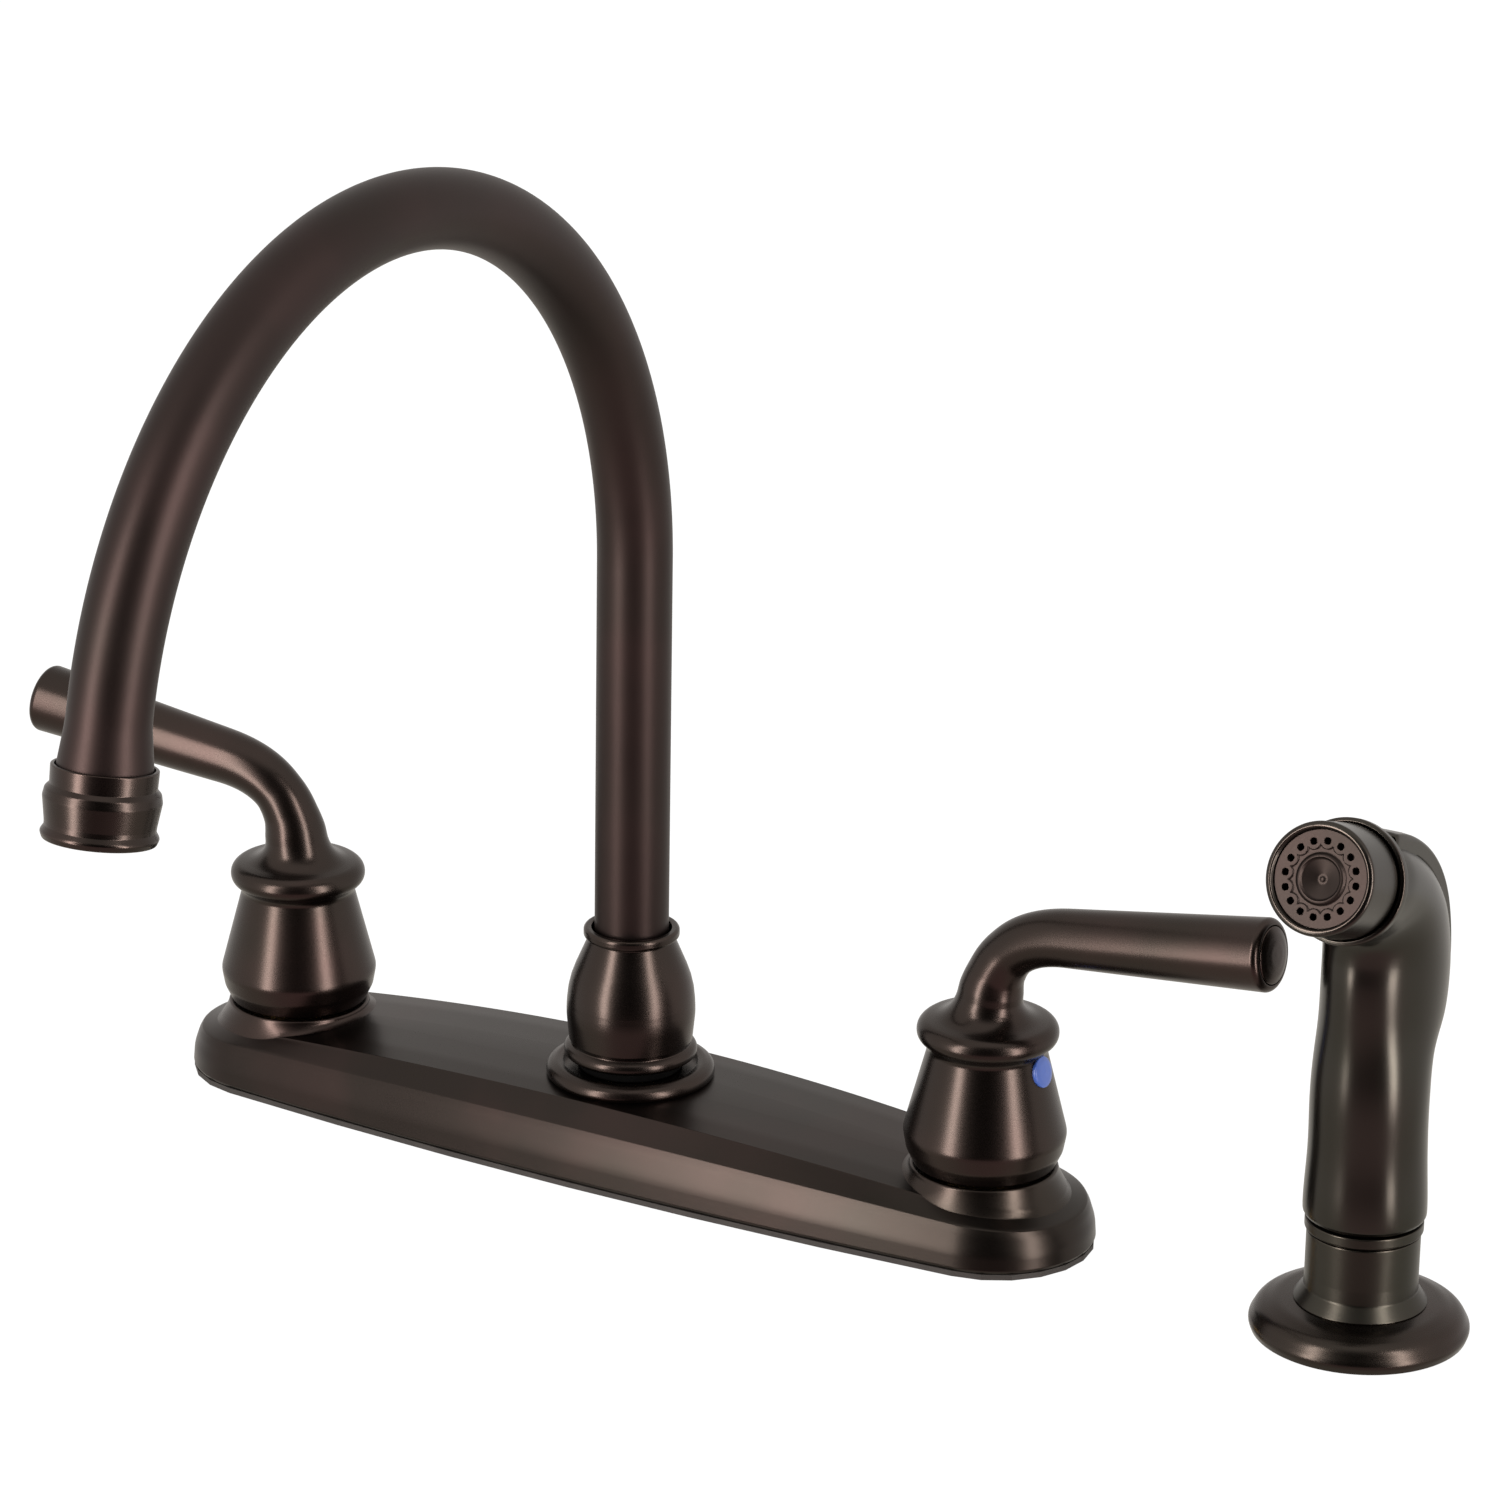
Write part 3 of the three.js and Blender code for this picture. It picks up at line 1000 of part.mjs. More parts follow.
/** The moulded handle of the sprayer: grip, bulged back and tilted head, hollow for the water. */
function sprayerHandle() {
  const under = TRIGGER_FOOT[1] - 1;
  const side = GRIP_WAIST_RADIUS;
  const wide = side + 0.5;
  const level = (height, width, front, rear) =>
    gripRing(height, width, (rear + front) / 2, (rear - front) / 2);
  const round = (height, radius) => level(height, radius, radius, radius);
  const rows = [
    round(GRIP_BASE, GRIP_RADIUS - 1),
    round(GRIP_BASE + 0.9, GRIP_RADIUS),
    round(GRIP_WAIST_HEIGHT, side),
    level(GRIP_WAIST_HEIGHT + 5, side, side, side + 0.25 * GRIP_BULGE),
    level(GRIP_WAIST_HEIGHT + 11, wide, side, side + 0.8 * GRIP_BULGE),
    level(GRIP_WAIST_HEIGHT + 16, wide, side, HANDLE_BACK - 0.5),
    level(under, wide, side, HANDLE_BACK),
  ];
  // above the trigger's foot the back follows the trigger's arc, and the rest draws in under the head
  const steps = 8;
  const ledge = under + SHOULDER_DEPTH;
  for (let i = 0; i <= steps; i += 1) {
    const share = i / steps;
    const height = ledge + (SPRAYER_TOP - ledge) * share;
    const width = wide * (1 - 0.36 * share ** 5);
    const front = side * (1 - 0.5 * share ** 4);
    rows.push(level(height, width, front, shoulder(height)));
  }
  const headRoot = -HEAD_RADIUS - 6;
  const head = atHead(turned((p) => p.moveTo(0, headRoot)
    .lineTo(HEAD_RADIUS - 2.6, headRoot)
    .quadraticCurveTo(HEAD_RADIUS - 0.8, headRoot + 8, HEAD_RADIUS - 0.6, -COLLAR_LENGTH)
    .lineTo(HEAD_RADIUS, 0.5 - COLLAR_LENGTH)
    .lineTo(HEAD_RADIUS, -0.5)
    .lineTo(HEAD_RADIUS - 0.5, 0)
    .lineTo(0, 0)));
  return lofted(rows).add(head).subtract(triggerRoom()).subtract(sprayerWaterway())
    .subtract(pivotBar(PIN_RADIUS + SEAT / 2, TRIGGER_WIDTH / 2 + PIN_OVERHANG + SEAT, BORE_SIDES));
}

/** The bores of the handle: up the grip, out through the head and back to the plunger. */
function sprayerWaterway() {
  const chamber = bar(SPRAYER_CHAMBER_RADIUS, GRIP_BASE - 1, PLUNGER_HEIGHT + CHAMBER_HEADROOM);
  const mouth = bar(HEAD_BORE, 2 - HEAD_RADIUS, 1);
  const channel = bar(HEAD_CHANNEL, -HEAD_RADIUS - 7, 1, SMALL_ROUND);
  const plungerBore = placed(bar(PLUNGER_RADIUS + RUNNING, 0, HANDLE_BACK, BORE_SIDES),
    [0, 0, PLUNGER_HEIGHT], [-90, 0, 0]);
  return chamber.add(atHead(mouth.add(channel))).add(plungerBore);
}

/** The space that the trigger needs, at rest and pressed. */
function triggerRoom() {
  const width = TRIGGER_WIDTH + 2 * RUNNING;
  const atRest = arcStrip(TRIGGER_RADIUS + 6, TRIGGER_INNER - RUNNING, width, RUNNING);
  const [y, z] = TRIGGER_PIVOT;
  const pressed = (angle) => atRest.translate(0, -y, -z).rotate(-angle, 0, 0).translate(0, y, z);
  return atRest.add(pressed(TRIGGER_TRAVEL / 2)).add(pressed(TRIGGER_TRAVEL))
    .add(pivotBar(TRIGGER_EAR + RUNNING, width / 2, SMALL_ROUND));
}

/** The pin that the trigger turns on. */
const triggerPin = () => pivotBar(PIN_RADIUS, TRIGGER_WIDTH / 2 + PIN_OVERHANG, BORE_SIDES);

/** The valve plunger that the trigger pushes in. */
function sprayerPlunger() {
  const touch = plungerTouch();
  const flange = PLUNGER_RADIUS + PLUNGER_FLANGE;
  return placed(turned((p) => p.moveTo(0, 0)
    .lineTo(flange, 0)
    .lineTo(flange, 2)
    .lineTo(PLUNGER_RADIUS, 2.6)
    .lineTo(PLUNGER_RADIUS, touch - 0.6)
    .lineTo(PLUNGER_RADIUS - 0.6, touch)
    .lineTo(0, touch), BORE_SIDES), [0, PLUNGER_SEAT, PLUNGER_HEIGHT], [-90, 0, 0]);
}

/** Length of the plunger, from its seat to just short of the trigger. */
function plungerTouch() {
  const tip = PLUNGER_LIFT + PLUNGER_RADIUS;
  const reach = Math.sqrt(TRIGGER_INNER ** 2 - tip ** 2);
  return TRIGGER_CENTRE[0] + reach - PLUNGER_SEAT - RUNNING / 2;
}

/** The spring behind the plunger. */
function plungerSpring() {
  const [wire, turns] = [0.35, 4];
  const far = 0.8 - SPRAYER_CHAMBER_RADIUS;
  const coil = spring(PLUNGER_RADIUS, wire, far, PLUNGER_SEAT - SEAT, turns);
  return placed(coil, [0, 0, PLUNGER_HEIGHT], [-90, 0, 0]);
}

/** The barrel between the collar and the face. */
function nozzleRing() {
  const length = NOZZLE_LENGTH;
  const lip = NOZZLE_RADIUS - FACE_RADIUS;
  const spigot = HEAD_BORE - SEAT;
  const spigotFoot = 4 - HEAD_RADIUS;
  const bore = HEAD_BORE - 2;
  const faceSeat = length - FACE_RECESS - FACE_DEPTH - SEAT;
  return atHead(turned((p) => p.moveTo(spigot, spigotFoot)
    .lineTo(spigot, SEAT)
    .lineTo(NOZZLE_RADIUS - 0.6, SEAT)
    .lineTo(NOZZLE_RADIUS + 0.2, SEAT + 1)
    .lineTo(NOZZLE_RADIUS, length - 1.2)
    .quadraticCurveTo(NOZZLE_RADIUS, length, NOZZLE_RADIUS - lip / 2, length)
    .lineTo(FACE_RADIUS + SEAT, length - 0.6)
    .lineTo(FACE_RADIUS + SEAT, faceSeat)
    .lineTo(bore, faceSeat - 0.4)
    .lineTo(bore, spigotFoot)
    .lineTo(spigot, spigotFoot), ROUND, 3));
}

/** The spray face: a ring of round jets in a scalloped rim, round a raised dish with a nub. */
function sprayFace() {
  const high = NOZZLE_LENGTH - FACE_RECESS;
  const low = high - FACE_DEPTH;
  const plate = polygon(2 * FACE_RADIUS, ROUND);
  for (let i = 0; i < FACE_HOLES; i += 1) {
    const turn = (2 * Math.PI * i) / FACE_HOLES;
    const [x, y] = [FACE_HOLE_CIRCLE * Math.cos(turn), FACE_HOLE_CIRCLE * Math.sin(turn)];
    const jet = new THREE.Path();
    jet.absarc(x, y, FACE_HOLE_RADIUS, 0, 2 * Math.PI);
    plate.holes.push(jet);
  }
  const disc = pushed(plate, low, high, 3);
  const rim = 5;
  const dish = turned((p) => p.moveTo(0, low + 1)
    .lineTo(rim + 0.5, low + 1)
    .lineTo(rim + 0.4, high + 0.5)
    .quadraticCurveTo(rim, high + 1.1, rim - 0.6, high + 0.6)
    .quadraticCurveTo(2.4, high - 1, 0.9, high - 1)
    .lineTo(0.7, high - 0.6)
    .lineTo(0, high - 0.6), SMALL_ROUND + 4, 2);
  const bowl = turned((p) => p.moveTo(0, high - 0.9)
    .lineTo(rim - 0.8, high - 0.1)
    .lineTo(rim - 0.8, high + 2)
    .lineTo(0, high + 2), SMALL_ROUND + 4, 2);
  return atHead(disc.subtract(bowl).add(dish));
}

function buildSprayer() {
  const group = new THREE.Group();
  group.position.set(HANDLE_X + LEVER_REACH + SPRAYER_STANDOFF, 0, 0);
  add(group, 'sprayer_escutcheon', sprayerEscutcheon(), BRONZE());
  add(group, 'sprayer_guide', sprayerGuide(), BRONZE());
  add(group, 'sprayer_guide_washer', washer(GUIDE_SHANK_RADIUS + SEAT), RUBBER());
  const nut = shankNut(GUIDE_SHANK_RADIUS + SEAT, GUIDE_NUT_HEIGHT, 2);
  add(group, 'sprayer_guide_nut', nut, BLACK_PLASTIC());
  add(group, 'sprayer_ferrule', sprayerFerrule(), BRONZE());
  add(group, 'sprayer_hose_connector', hoseConnector(), GREY_PLASTIC());
  add(group, 'sprayer_handle', sprayerHandle(), BRONZE());
  add(group, 'sprayer_nozzle_ring', nozzleRing(), BRONZE());
  add(group, 'sprayer_face', sprayFace(), BRONZE());
  add(group, 'sprayer_trigger', trigger(), BRONZE());
  add(group, 'sprayer_trigger_pin', triggerPin(), STEEL());
  add(group, 'sprayer_plunger', sprayerPlunger(), GREY_PLASTIC());
  add(group, 'sprayer_plunger_spring', plungerSpring(), STEEL());
  model.add(group);
}

// ---- the whole faucet ---------------------------------------------------------------------
add(model, 'deck_gasket', deckGasket(), RUBBER());
add(model, 'deck_plate', deckPlate(), BRONZE());
buildValve('hot', -1);
buildValve('cold', 1);
buildHandle('hot', -1, HOT_LEVER_YAW, RED());
buildHandle('cold', 1, COLD_LEVER_YAW, BLUE());
buildSpout();
buildSprayer();

export default model;
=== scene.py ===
"""Looks of a two handle kitchen faucet with a high arc spout and a side sprayer.

Sizes are in millimetres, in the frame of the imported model: +Z up from the deck,
the spout along -Y, the plate along X. They become metres when a mesh is made.
"""
import json
import logging
import math
from dataclasses import dataclass, field
from enum import Enum
from typing import Optional, Sequence, Union

import bpy
import numpy as np
from mathutils import Matrix, Vector

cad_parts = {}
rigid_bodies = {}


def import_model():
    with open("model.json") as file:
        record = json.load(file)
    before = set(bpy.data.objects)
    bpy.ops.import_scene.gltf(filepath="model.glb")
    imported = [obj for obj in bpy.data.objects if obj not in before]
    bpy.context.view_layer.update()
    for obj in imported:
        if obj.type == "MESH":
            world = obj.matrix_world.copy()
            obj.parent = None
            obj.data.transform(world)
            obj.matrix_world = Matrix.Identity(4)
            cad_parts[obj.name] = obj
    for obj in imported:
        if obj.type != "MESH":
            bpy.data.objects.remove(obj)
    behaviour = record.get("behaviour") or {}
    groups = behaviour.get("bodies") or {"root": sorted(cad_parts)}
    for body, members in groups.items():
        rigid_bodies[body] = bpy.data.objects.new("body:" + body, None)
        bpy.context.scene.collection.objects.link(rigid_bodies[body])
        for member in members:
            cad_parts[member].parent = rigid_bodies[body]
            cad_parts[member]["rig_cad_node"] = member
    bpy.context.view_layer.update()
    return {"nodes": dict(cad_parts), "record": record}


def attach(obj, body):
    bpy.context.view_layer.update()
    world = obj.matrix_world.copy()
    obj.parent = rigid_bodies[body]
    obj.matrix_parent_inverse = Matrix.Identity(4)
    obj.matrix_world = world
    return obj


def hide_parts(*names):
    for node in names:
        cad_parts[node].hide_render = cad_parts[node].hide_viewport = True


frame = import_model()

LOG = logging.getLogger("faucet")
MM = 0.001
Grid = np.ndarray
Object = bpy.types.Object
Material = bpy.types.Material
Colour = tuple[float, float, float]
Pair = tuple[float, float]
Rows = Sequence[Sequence[float]]
TAU = 2 * math.pi

HANDLE_X = 101.6  # from the spout's axis to a handle's
SPRAYER_X = 203.2  # from the spout's axis to the sprayer's
SHARP_EDGE = math.radians(42)  # faces that turn by more than this meet in a hard edge
WORN_RADIUS = 1.6  # outward fillets tighter than this are worn


# ---- profiles and skins ----
def rounded(corners: Rows, step: float = 0.8, turn_step: float = 9.0) -> Grid:
    """Points along a polyline whose corners are arcs.

    At a corner with turning angle a and fillet radius f the arc starts f * tan(a / 2)
    before the corner and ends as far behind it. Straight parts are divided too.

    Args:
        corners: rows of radius, height and fillet radius.
        step: longest straight piece, in millimetres.
        turn_step: degrees between two points of an arc.

    Returns:
        Rows of radius, height and wear, which is 1 on tight outward arcs.
    """
    points = np.array([c[:2] for c in corners], float)
    fillets = np.array([c[2] if len(c) > 2 else 0.0 for c in corners])
    legs = np.diff(points, axis=0)
    lengths = np.maximum(np.linalg.norm(legs, axis=1), 1e-9)
    heading = np.arctan2(legs[:, 1], legs[:, 0])
    bends = np.r_[0, (np.diff(heading) + math.pi) % TAU - math.pi, 0]
    half = np.tan(np.abs(bends) / 2)
    need = (fillets[:-1] * half[:-1] + fillets[1:] * half[1:]) / lengths
    radii = fillets / np.maximum(1, np.maximum(np.r_[0, need], np.r_[need, 0]))
    rows: list[Grid] = []

    def straight(a: Grid, b: Grid) -> None:
        """Adds a straight piece, with a point close to each of its ends."""
        length = float(np.linalg.norm(b - a))
        if length < 1e-4:
            return
        share = np.linspace(0, 1, max(1, math.ceil(length / step)) + 1)
        near = min(0.12, 0.2 * length) / length
        share = np.unique(np.r_[share, near, 1 - near])[:, None]
        rows.append(np.c_[a + share * (b - a), np.zeros(len(share))])

    here = points[0]
    for k in range(1, len(points) - 1):
        into, out = legs[k - 1] / lengths[k - 1], legs[k] / lengths[k]
        angle, radius = bends[k], radii[k]
        if radius < 1e-3 or abs(angle) < 1e-3:
            straight(here, points[k])
            here = points[k]
            continue
        start = points[k] - into * radius * half[k]
        straight(here, start)
        side = math.copysign(1.0, angle)
        centre = start + radius * side * np.array([-into[1], into[0]])
        count = max(3, math.ceil(math.degrees(abs(angle)) / turn_step))
        turns = np.linspace(0, angle, count + 1)
        arm = start - centre
        x = centre[0] + arm[0] * np.cos(turns) - arm[1] * np.sin(turns)
        y = centre[1] + arm[0] * np.sin(turns) + arm[1] * np.cos(turns)
        tight = max(0.0, min(1.0, WORN_RADIUS - radius)) * (side > 0) * min(1.0, abs(angle))
        rows.append(np.c_[x, y, tight * np.sin(np.linspace(0, math.pi, count + 1))])
        here = points[k] + out * radius * half[k]
    straight(here, points[-1])
    made = np.concatenate(rows)
    keep = np.r_[True, np.linalg.norm(np.diff(made[:, :2], axis=0), axis=1) > 1e-4]
    return made[keep]


def placed(grid: Grid, turn: Matrix, move: Sequence[float]) -> Grid:
    """A grid turned by a matrix, then moved: p' = T p + m."""
    return grid @ np.array(turn.to_3x3()).T + np.array(move, float)


def spin(axis: str, degrees: float) -> Matrix:
    """A turn about one axis by an angle in degrees."""
    return Matrix.Rotation(math.radians(degrees), 3, axis)


def smooth_step(value: Grid, low: float, high: float) -> Grid:
    """0 below low, 1 above high and 3 t^2 - 2 t^3 between."""
    t = np.clip((value - low) / (high - low), 0, 1)
    return t * t * (3 - 2 * t)


def spline(knots: Grid, values: Grid, at: Grid) -> Grid:
    """A smooth curve through values at knots: cubic Hermite pieces with central slopes."""
    slope = np.gradient(values, knots)
    k = np.clip(np.searchsorted(knots, at, side="right") - 1, 0, len(knots) - 2)
    h = knots[k + 1] - knots[k]
    t = (at - knots[k]) / h
    a, b = values[k], values[k + 1]
    return ((2 * t ** 3 - 3 * t ** 2 + 1) * a + (t ** 3 - 2 * t ** 2 + t) * h * slope[k]
            + (-2 * t ** 3 + 3 * t ** 2) * b + (t ** 3 - t ** 2) * h * slope[k + 1])


@dataclass
class Skin:
    """A closed surface over rows of points, each a ring.

    Its ends are closed by a point or a ladder from side to side, or meet in a loop.
    """

    name: str
    grid: Grid
    wear: Optional[Grid] = None
    ladder: bool = False
    loop: bool = False

    def _caps(self, points: list[Grid], faces: list[Grid]) -> None:
        """Closes the first and last rows."""
        rows, cols = self.grid.shape[:2]
        for row, flip in ((0, True), (rows - 1, False)):
            ring = row * cols + np.arange(cols)
            if self.ladder:
                k = np.arange(1, cols // 2 - 1)
                ends = [[0, 1, cols - 1], [cols // 2, cols // 2 + 1, cols // 2 - 1]]
                made = [np.c_[ring[k], ring[k + 1], ring[cols - k - 1], ring[cols - k]], ring[ends]]
            else:
                tip = sum(len(p) for p in points)
                points.append(self.grid[row].mean(axis=0)[None])
                made = [np.c_[ring, np.roll(ring, -1), np.full(cols, tip)]]
            faces.extend(f[:, ::-1] if flip else f for f in made)

    def build(self) -> Object:
        """Makes the mesh object, with smooth shading.

        Returns:
            The object, linked to the scene.
        """
        rows, cols = self.grid.shape[:2]
        points = [self.grid.reshape(-1, 3)]
        top = rows if self.loop else rows - 1
        i, j = np.meshgrid(np.arange(top), np.arange(cols), indexing="ij")
        i2, j2 = (i + 1) % rows, (j + 1) % cols
        quads = [i * cols + j, i * cols + j2, i2 * cols + j2, i2 * cols + j]
        faces = [np.dstack(quads).reshape(-1, 4)]
        if not self.loop:
            self._caps(points, faces)
        vertices = np.concatenate(points) * MM
        wear = None
        if self.wear is not None:
            wear = np.repeat(self.wear, cols) if self.wear.ndim == 1 else self.wear.ravel()
            wear = np.r_[wear, np.zeros(len(vertices) - len(wear))]
        return make_mesh(self.name, vertices, faces, wear)


def linked(name: str, data: bpy.types.ID) -> Object:
    """A new object of some data, in the scene."""
    obj = bpy.data.objects.new(name, data)
    bpy.context.scene.collection.objects.link(obj)
    return obj


def make_mesh(name: str, vertices: Grid, faces: Sequence[Grid], wear: Optional[Grid] = None) -> Object:
    """A mesh object from arrays of corners and faces, turned outwards by its signed volume.

    Args:
        name: the piece's name.
        vertices: n by 3, in metres.
        faces: arrays of 3 or 4 corner numbers.
        wear: one number per vertex, kept as the attribute "wear".

    Returns:
        The object, linked to the scene.
    """
    volume = 0.0
    for f in faces:
        for k in range(1, f.shape[1] - 1):
            p, q, r = vertices[f[:, 0]], vertices[f[:, k]], vertices[f[:, k + 1]]
            volume += float(np.einsum("ij,ij->", p, np.cross(q, r)))
    if volume < 0:
        faces = [f[:, ::-1] for f in faces]
    mesh = bpy.data.meshes.new(name)
    mesh.from_pydata(vertices, [], [corners for f in faces for corners in f.tolist()])
    mesh.validate()
    mesh.polygons.foreach_set("use_smooth", np.ones(len(mesh.polygons), bool))
    mesh.set_sharp_from_angle(angle=SHARP_EDGE)
    if wear is not None:
        mesh.attributes.new("wear", "FLOAT", "POINT").data.foreach_set("value", wear.astype(np.float32))
    return linked(name, mesh)


def lathe(name: str, corners: Rows, turn: Matrix = Matrix.Identity(3),
          move: Sequence[float] = (0, 0, 0), sides: int = 96, step: float = 0.8) -> Object:
    """A turned piece: a ring where the profile closes on itself, or else closed on the axis.

    Args:
        name: the piece's name.
        corners: rows of radius, height and fillet radius.
        turn: the turn of the profile's axis.
        move: the place of the profile's origin.
        sides: faces round the axis.
        step: longest straight piece of the profile, in millimetres.

    Returns:
        The object, linked to the scene.
    """
    loop = math.dist(corners[0][:2], corners[-1][:2]) < 1e-6
    profile = rounded(corners, step)
    if loop:
        profile = profile[:-1]
    off_axis = profile[:, 0] > 1e-4
    radius, height, wear = profile[off_axis].T
    still = 0 * height
    grid = placed(swept(np.c_[still, still, height], still, radius, sides), turn, move)
    return Skin(name, grid, wear, loop=loop).build()


def swept(centres: Grid, leans: Grid, radii: Grid, sides: int) -> Grid:
    """Rings about a line in the XZ plane: p = c + r (cos t A + sin t Y), A = (cos lean, 0, -sin lean).

    Args:
        centres: a point of the line for each ring.
        leans: the line's lean from upright there, in radians.
        radii: each ring's radius.
        sides: points round a ring.

    Returns:
        Points, rings by sides.
    """
    turn = np.linspace(0, TAU, sides, endpoint=False)
    across = np.c_[np.cos(leans), 0 * leans, -np.sin(leans)]
    level = np.array([0.0, 1.0, 0.0])
    ring = np.cos(turn)[None, :, None] * across[:, None, :] + np.sin(turn)[None, :, None] * level
    return centres[:, None, :] + radii[:, None, None] * ring


# ---- shader maths ----
Value = Union["Sock", float]


@dataclass(frozen=True)
class Sock:
    """An output socket that takes part in sums and products."""

    graph: "Graph"
    socket: bpy.types.NodeSocket

    def _with(self, operation: str, other: Value, swap: bool = False) -> "Sock":
        """A Math node on this value and another one."""
        a, b = (other, self) if swap else (self, other)
        return self.graph.out("Math", {0: a, 1: b}, operation=operation)

    def __add__(self, other: Value) -> "Sock":
        """Self + other."""
        return self._with("ADD", other)

    def __radd__(self, other: Value) -> "Sock":
        """Other + self."""
        return self._with("ADD", other, True)

    def __sub__(self, other: Value) -> "Sock":
        """Self - other."""
        return self._with("SUBTRACT", other)

    def __rsub__(self, other: Value) -> "Sock":
        """Other - self."""
        return self._with("SUBTRACT", other, True)

    def __mul__(self, other: Value) -> "Sock":
        """Self * other."""
        return self._with("MULTIPLY", other)

    def __rmul__(self, other: Value) -> "Sock":
        """Other * self."""
        return self._with("MULTIPLY", other, True)


class Graph:
    """A node tree that is written as expressions."""

    def __init__(self, tree: bpy.types.NodeTree) -> None:
        """Takes a tree and empties it."""
        self.tree = tree
        tree.nodes.clear()

    def node(self, kind: str, inputs: Optional[dict] = None, **settings: object) -> bpy.types.Node:
        """Adds a node.

        Args:
            kind: the node's type, after "ShaderNode".
            inputs: values or links of its sockets, by number or name.
            settings: its own properties, which are set first.

        Returns:
            The node.
        """
        made = self.tree.nodes.new("ShaderNode" + kind)
        for key, value in settings.items():
            setattr(made, key, value)
        for key, value in (inputs or {}).items():
            self.join(value, made.inputs[key])
        return made

    def out(self, kind: str, inputs: Optional[dict] = None, key: Union[int, str] = 0,
            **settings: object) -> Sock:
        """Adds a node and gives its output of that number or name."""
        return Sock(self, self.node(kind, inputs, **settings).outputs[key])

    def join(self, value: object, socket: bpy.types.NodeSocket) -> None:
        """Links a socket, or writes a number, vector or colour to it."""
        if isinstance(value, Sock):
            self.tree.links.new(value.socket, socket)
        elif isinstance(value, tuple) and socket.type == "RGBA":
            socket.default_value = (*value, 1.0)[:4]
        else:
            socket.default_value = value

    def ramp(self, value: Sock, low: float, high: float) -> Sock:
        """0 below low and 1 above high."""
        return self.out("MapRange", {0: value, 1: low, 2: high}, interpolation_type="SMOOTHSTEP")

    def mix(self, share: Value, a: object, b: object) -> Sock:
        """Colour a where share is 0 and b where it is 1."""
        return self.out("Mix", {0: share, 6: a, 7: b}, 2, data_type="RGBA")


class Surface(Graph):
    """The tree of one finish, with a Principled shader on its output."""

    def __init__(self, name: str) -> None:
        """Starts the material, its shader and its coordinates."""
        self.material = bpy.data.materials.new(name)
        self.material.use_nodes = True
        super().__init__(self.material.node_tree)
        self.shader = self.node("BsdfPrincipled")
        self.lit = Sock(self, self.shader.outputs[0])
        self.end = self.node("OutputMaterial", {"Surface": self.lit})
        self.place = self.out("TexCoord", key="Object")

    def noise(self, scale: float, detail: float = 2.0, stretch: Optional[tuple] = None) -> Sock:
        """Noise from 0 to 1; scale is features per metre, stretch scales X, Y and Z."""
        place = self.place
        if stretch:
            place = self.out("Mapping", {"Vector": place, "Scale": stretch})
        return self.out("TexNoise", {"Vector": place, "Scale": scale, "Detail": detail})

    def attribute(self, name: str) -> Sock:
        """A number that the mesh keeps for each vertex."""
        return self.out("Attribute", key="Fac", attribute_name=name)

    def bump(self, height: Sock, depth_mm: float) -> Sock:
        """A bumped normal; the height runs from 0 to 1 over depth_mm."""
        return self.out("Bump", {"Height": height, "Strength": 1.0, "Distance": depth_mm * MM})

    def set(self, **values: object) -> None:
        """Writes the shader's own sockets; underscores stand for spaces."""
        for key, value in values.items():
            self.join(value, self.shader.inputs[key.replace("_", " ").title().replace("Ior", "IOR")])


@dataclass(frozen=True)
class SatinMetal:
    """A dark bronze: brown ground, warmer and greener zones, copper on worn edges."""

    name: str
    slot: str
    ground: Colour = (0.042, 0.033, 0.029)
    warm: Colour = (0.052, 0.037, 0.033)
    cool: Colour = (0.038, 0.034, 0.028)
    worn: Colour = (0.10, 0.072, 0.060)
    roughness: float = 0.28
    grain_mm: float = 0.35
    grain_depth: float = 0.0012
    wear: float = 0.3

    def build(self) -> Material:
        """Makes the finish's nodes."""
        g = Surface(self.name)
        broad = g.noise(26, 3)
        tone = g.mix(g.ramp(broad, 0.42, 0.66), self.ground, self.warm)
        patch = g.ramp(g.noise(14, 2, (1, 1, 1.7)), 0.48, 0.72)
        tone = g.mix(patch * 0.7, tone, self.cool)
        fine = g.noise(1 / (self.grain_mm * MM), 3)
        speck = g.ramp(g.noise(700, 2), 0.66, 0.78)
        tone = g.mix(speck * 0.14, tone, self.warm)
        edge = g.ramp(g.attribute("wear") * (0.35 + g.noise(420, 3)), 0.32, 0.78)
        g.set(base_color=g.mix(edge * self.wear, tone, self.worn),
              roughness=self.roughness + (fine - 0.5) * 0.10 + (broad - 0.5) * 0.10 - edge * 0.06,
              metallic=1.0, normal=g.bump(fine, self.grain_depth))
        return g.material


@dataclass(frozen=True)
class PlainMetal:
    """A bare machined or drawn metal with fine turning marks and stain."""

    name: str
    slot: str
    colour: Colour
    stain: Colour
    roughness: float = 0.3
    lines: float = 4200.0

    def build(self) -> Material:
        """Makes the finish's nodes."""
        g = Surface(self.name)
        stain = g.ramp(g.noise(60, 4), 0.5, 0.72)
        marks = g.noise(self.lines, 2, (0.08, 0.08, 1))
        g.set(base_color=g.mix(stain * 0.55, self.colour, self.stain), metallic=1.0,
              roughness=self.roughness + marks * 0.12 + stain * 0.1, normal=g.bump(marks, 0.006))
        return g.material


@dataclass(frozen=True)
class Moulding:
    """A plastic or rubber with a fine grain and slightly uneven colour."""

    name: str
    slot: str
    colour: Colour
    shade: Colour
    roughness: float = 0.5
    grain: float = 1800.0
    depth: float = 0.008
    coat: float = 0.0
    shine: float = 0.5

    def build(self) -> Material:
        """Makes the finish's nodes."""
        g = Surface(self.name)
        cloud = g.noise(120, 3)
        grain = g.noise(self.grain, 2)
        g.set(base_color=g.mix(g.ramp(cloud, 0.35, 0.75), self.colour, self.shade),
              roughness=self.roughness + (grain - 0.5) * 0.12, coat_weight=self.coat,
              specular_ior_level=self.shine, normal=g.bump(grain, self.depth))
        return g.material


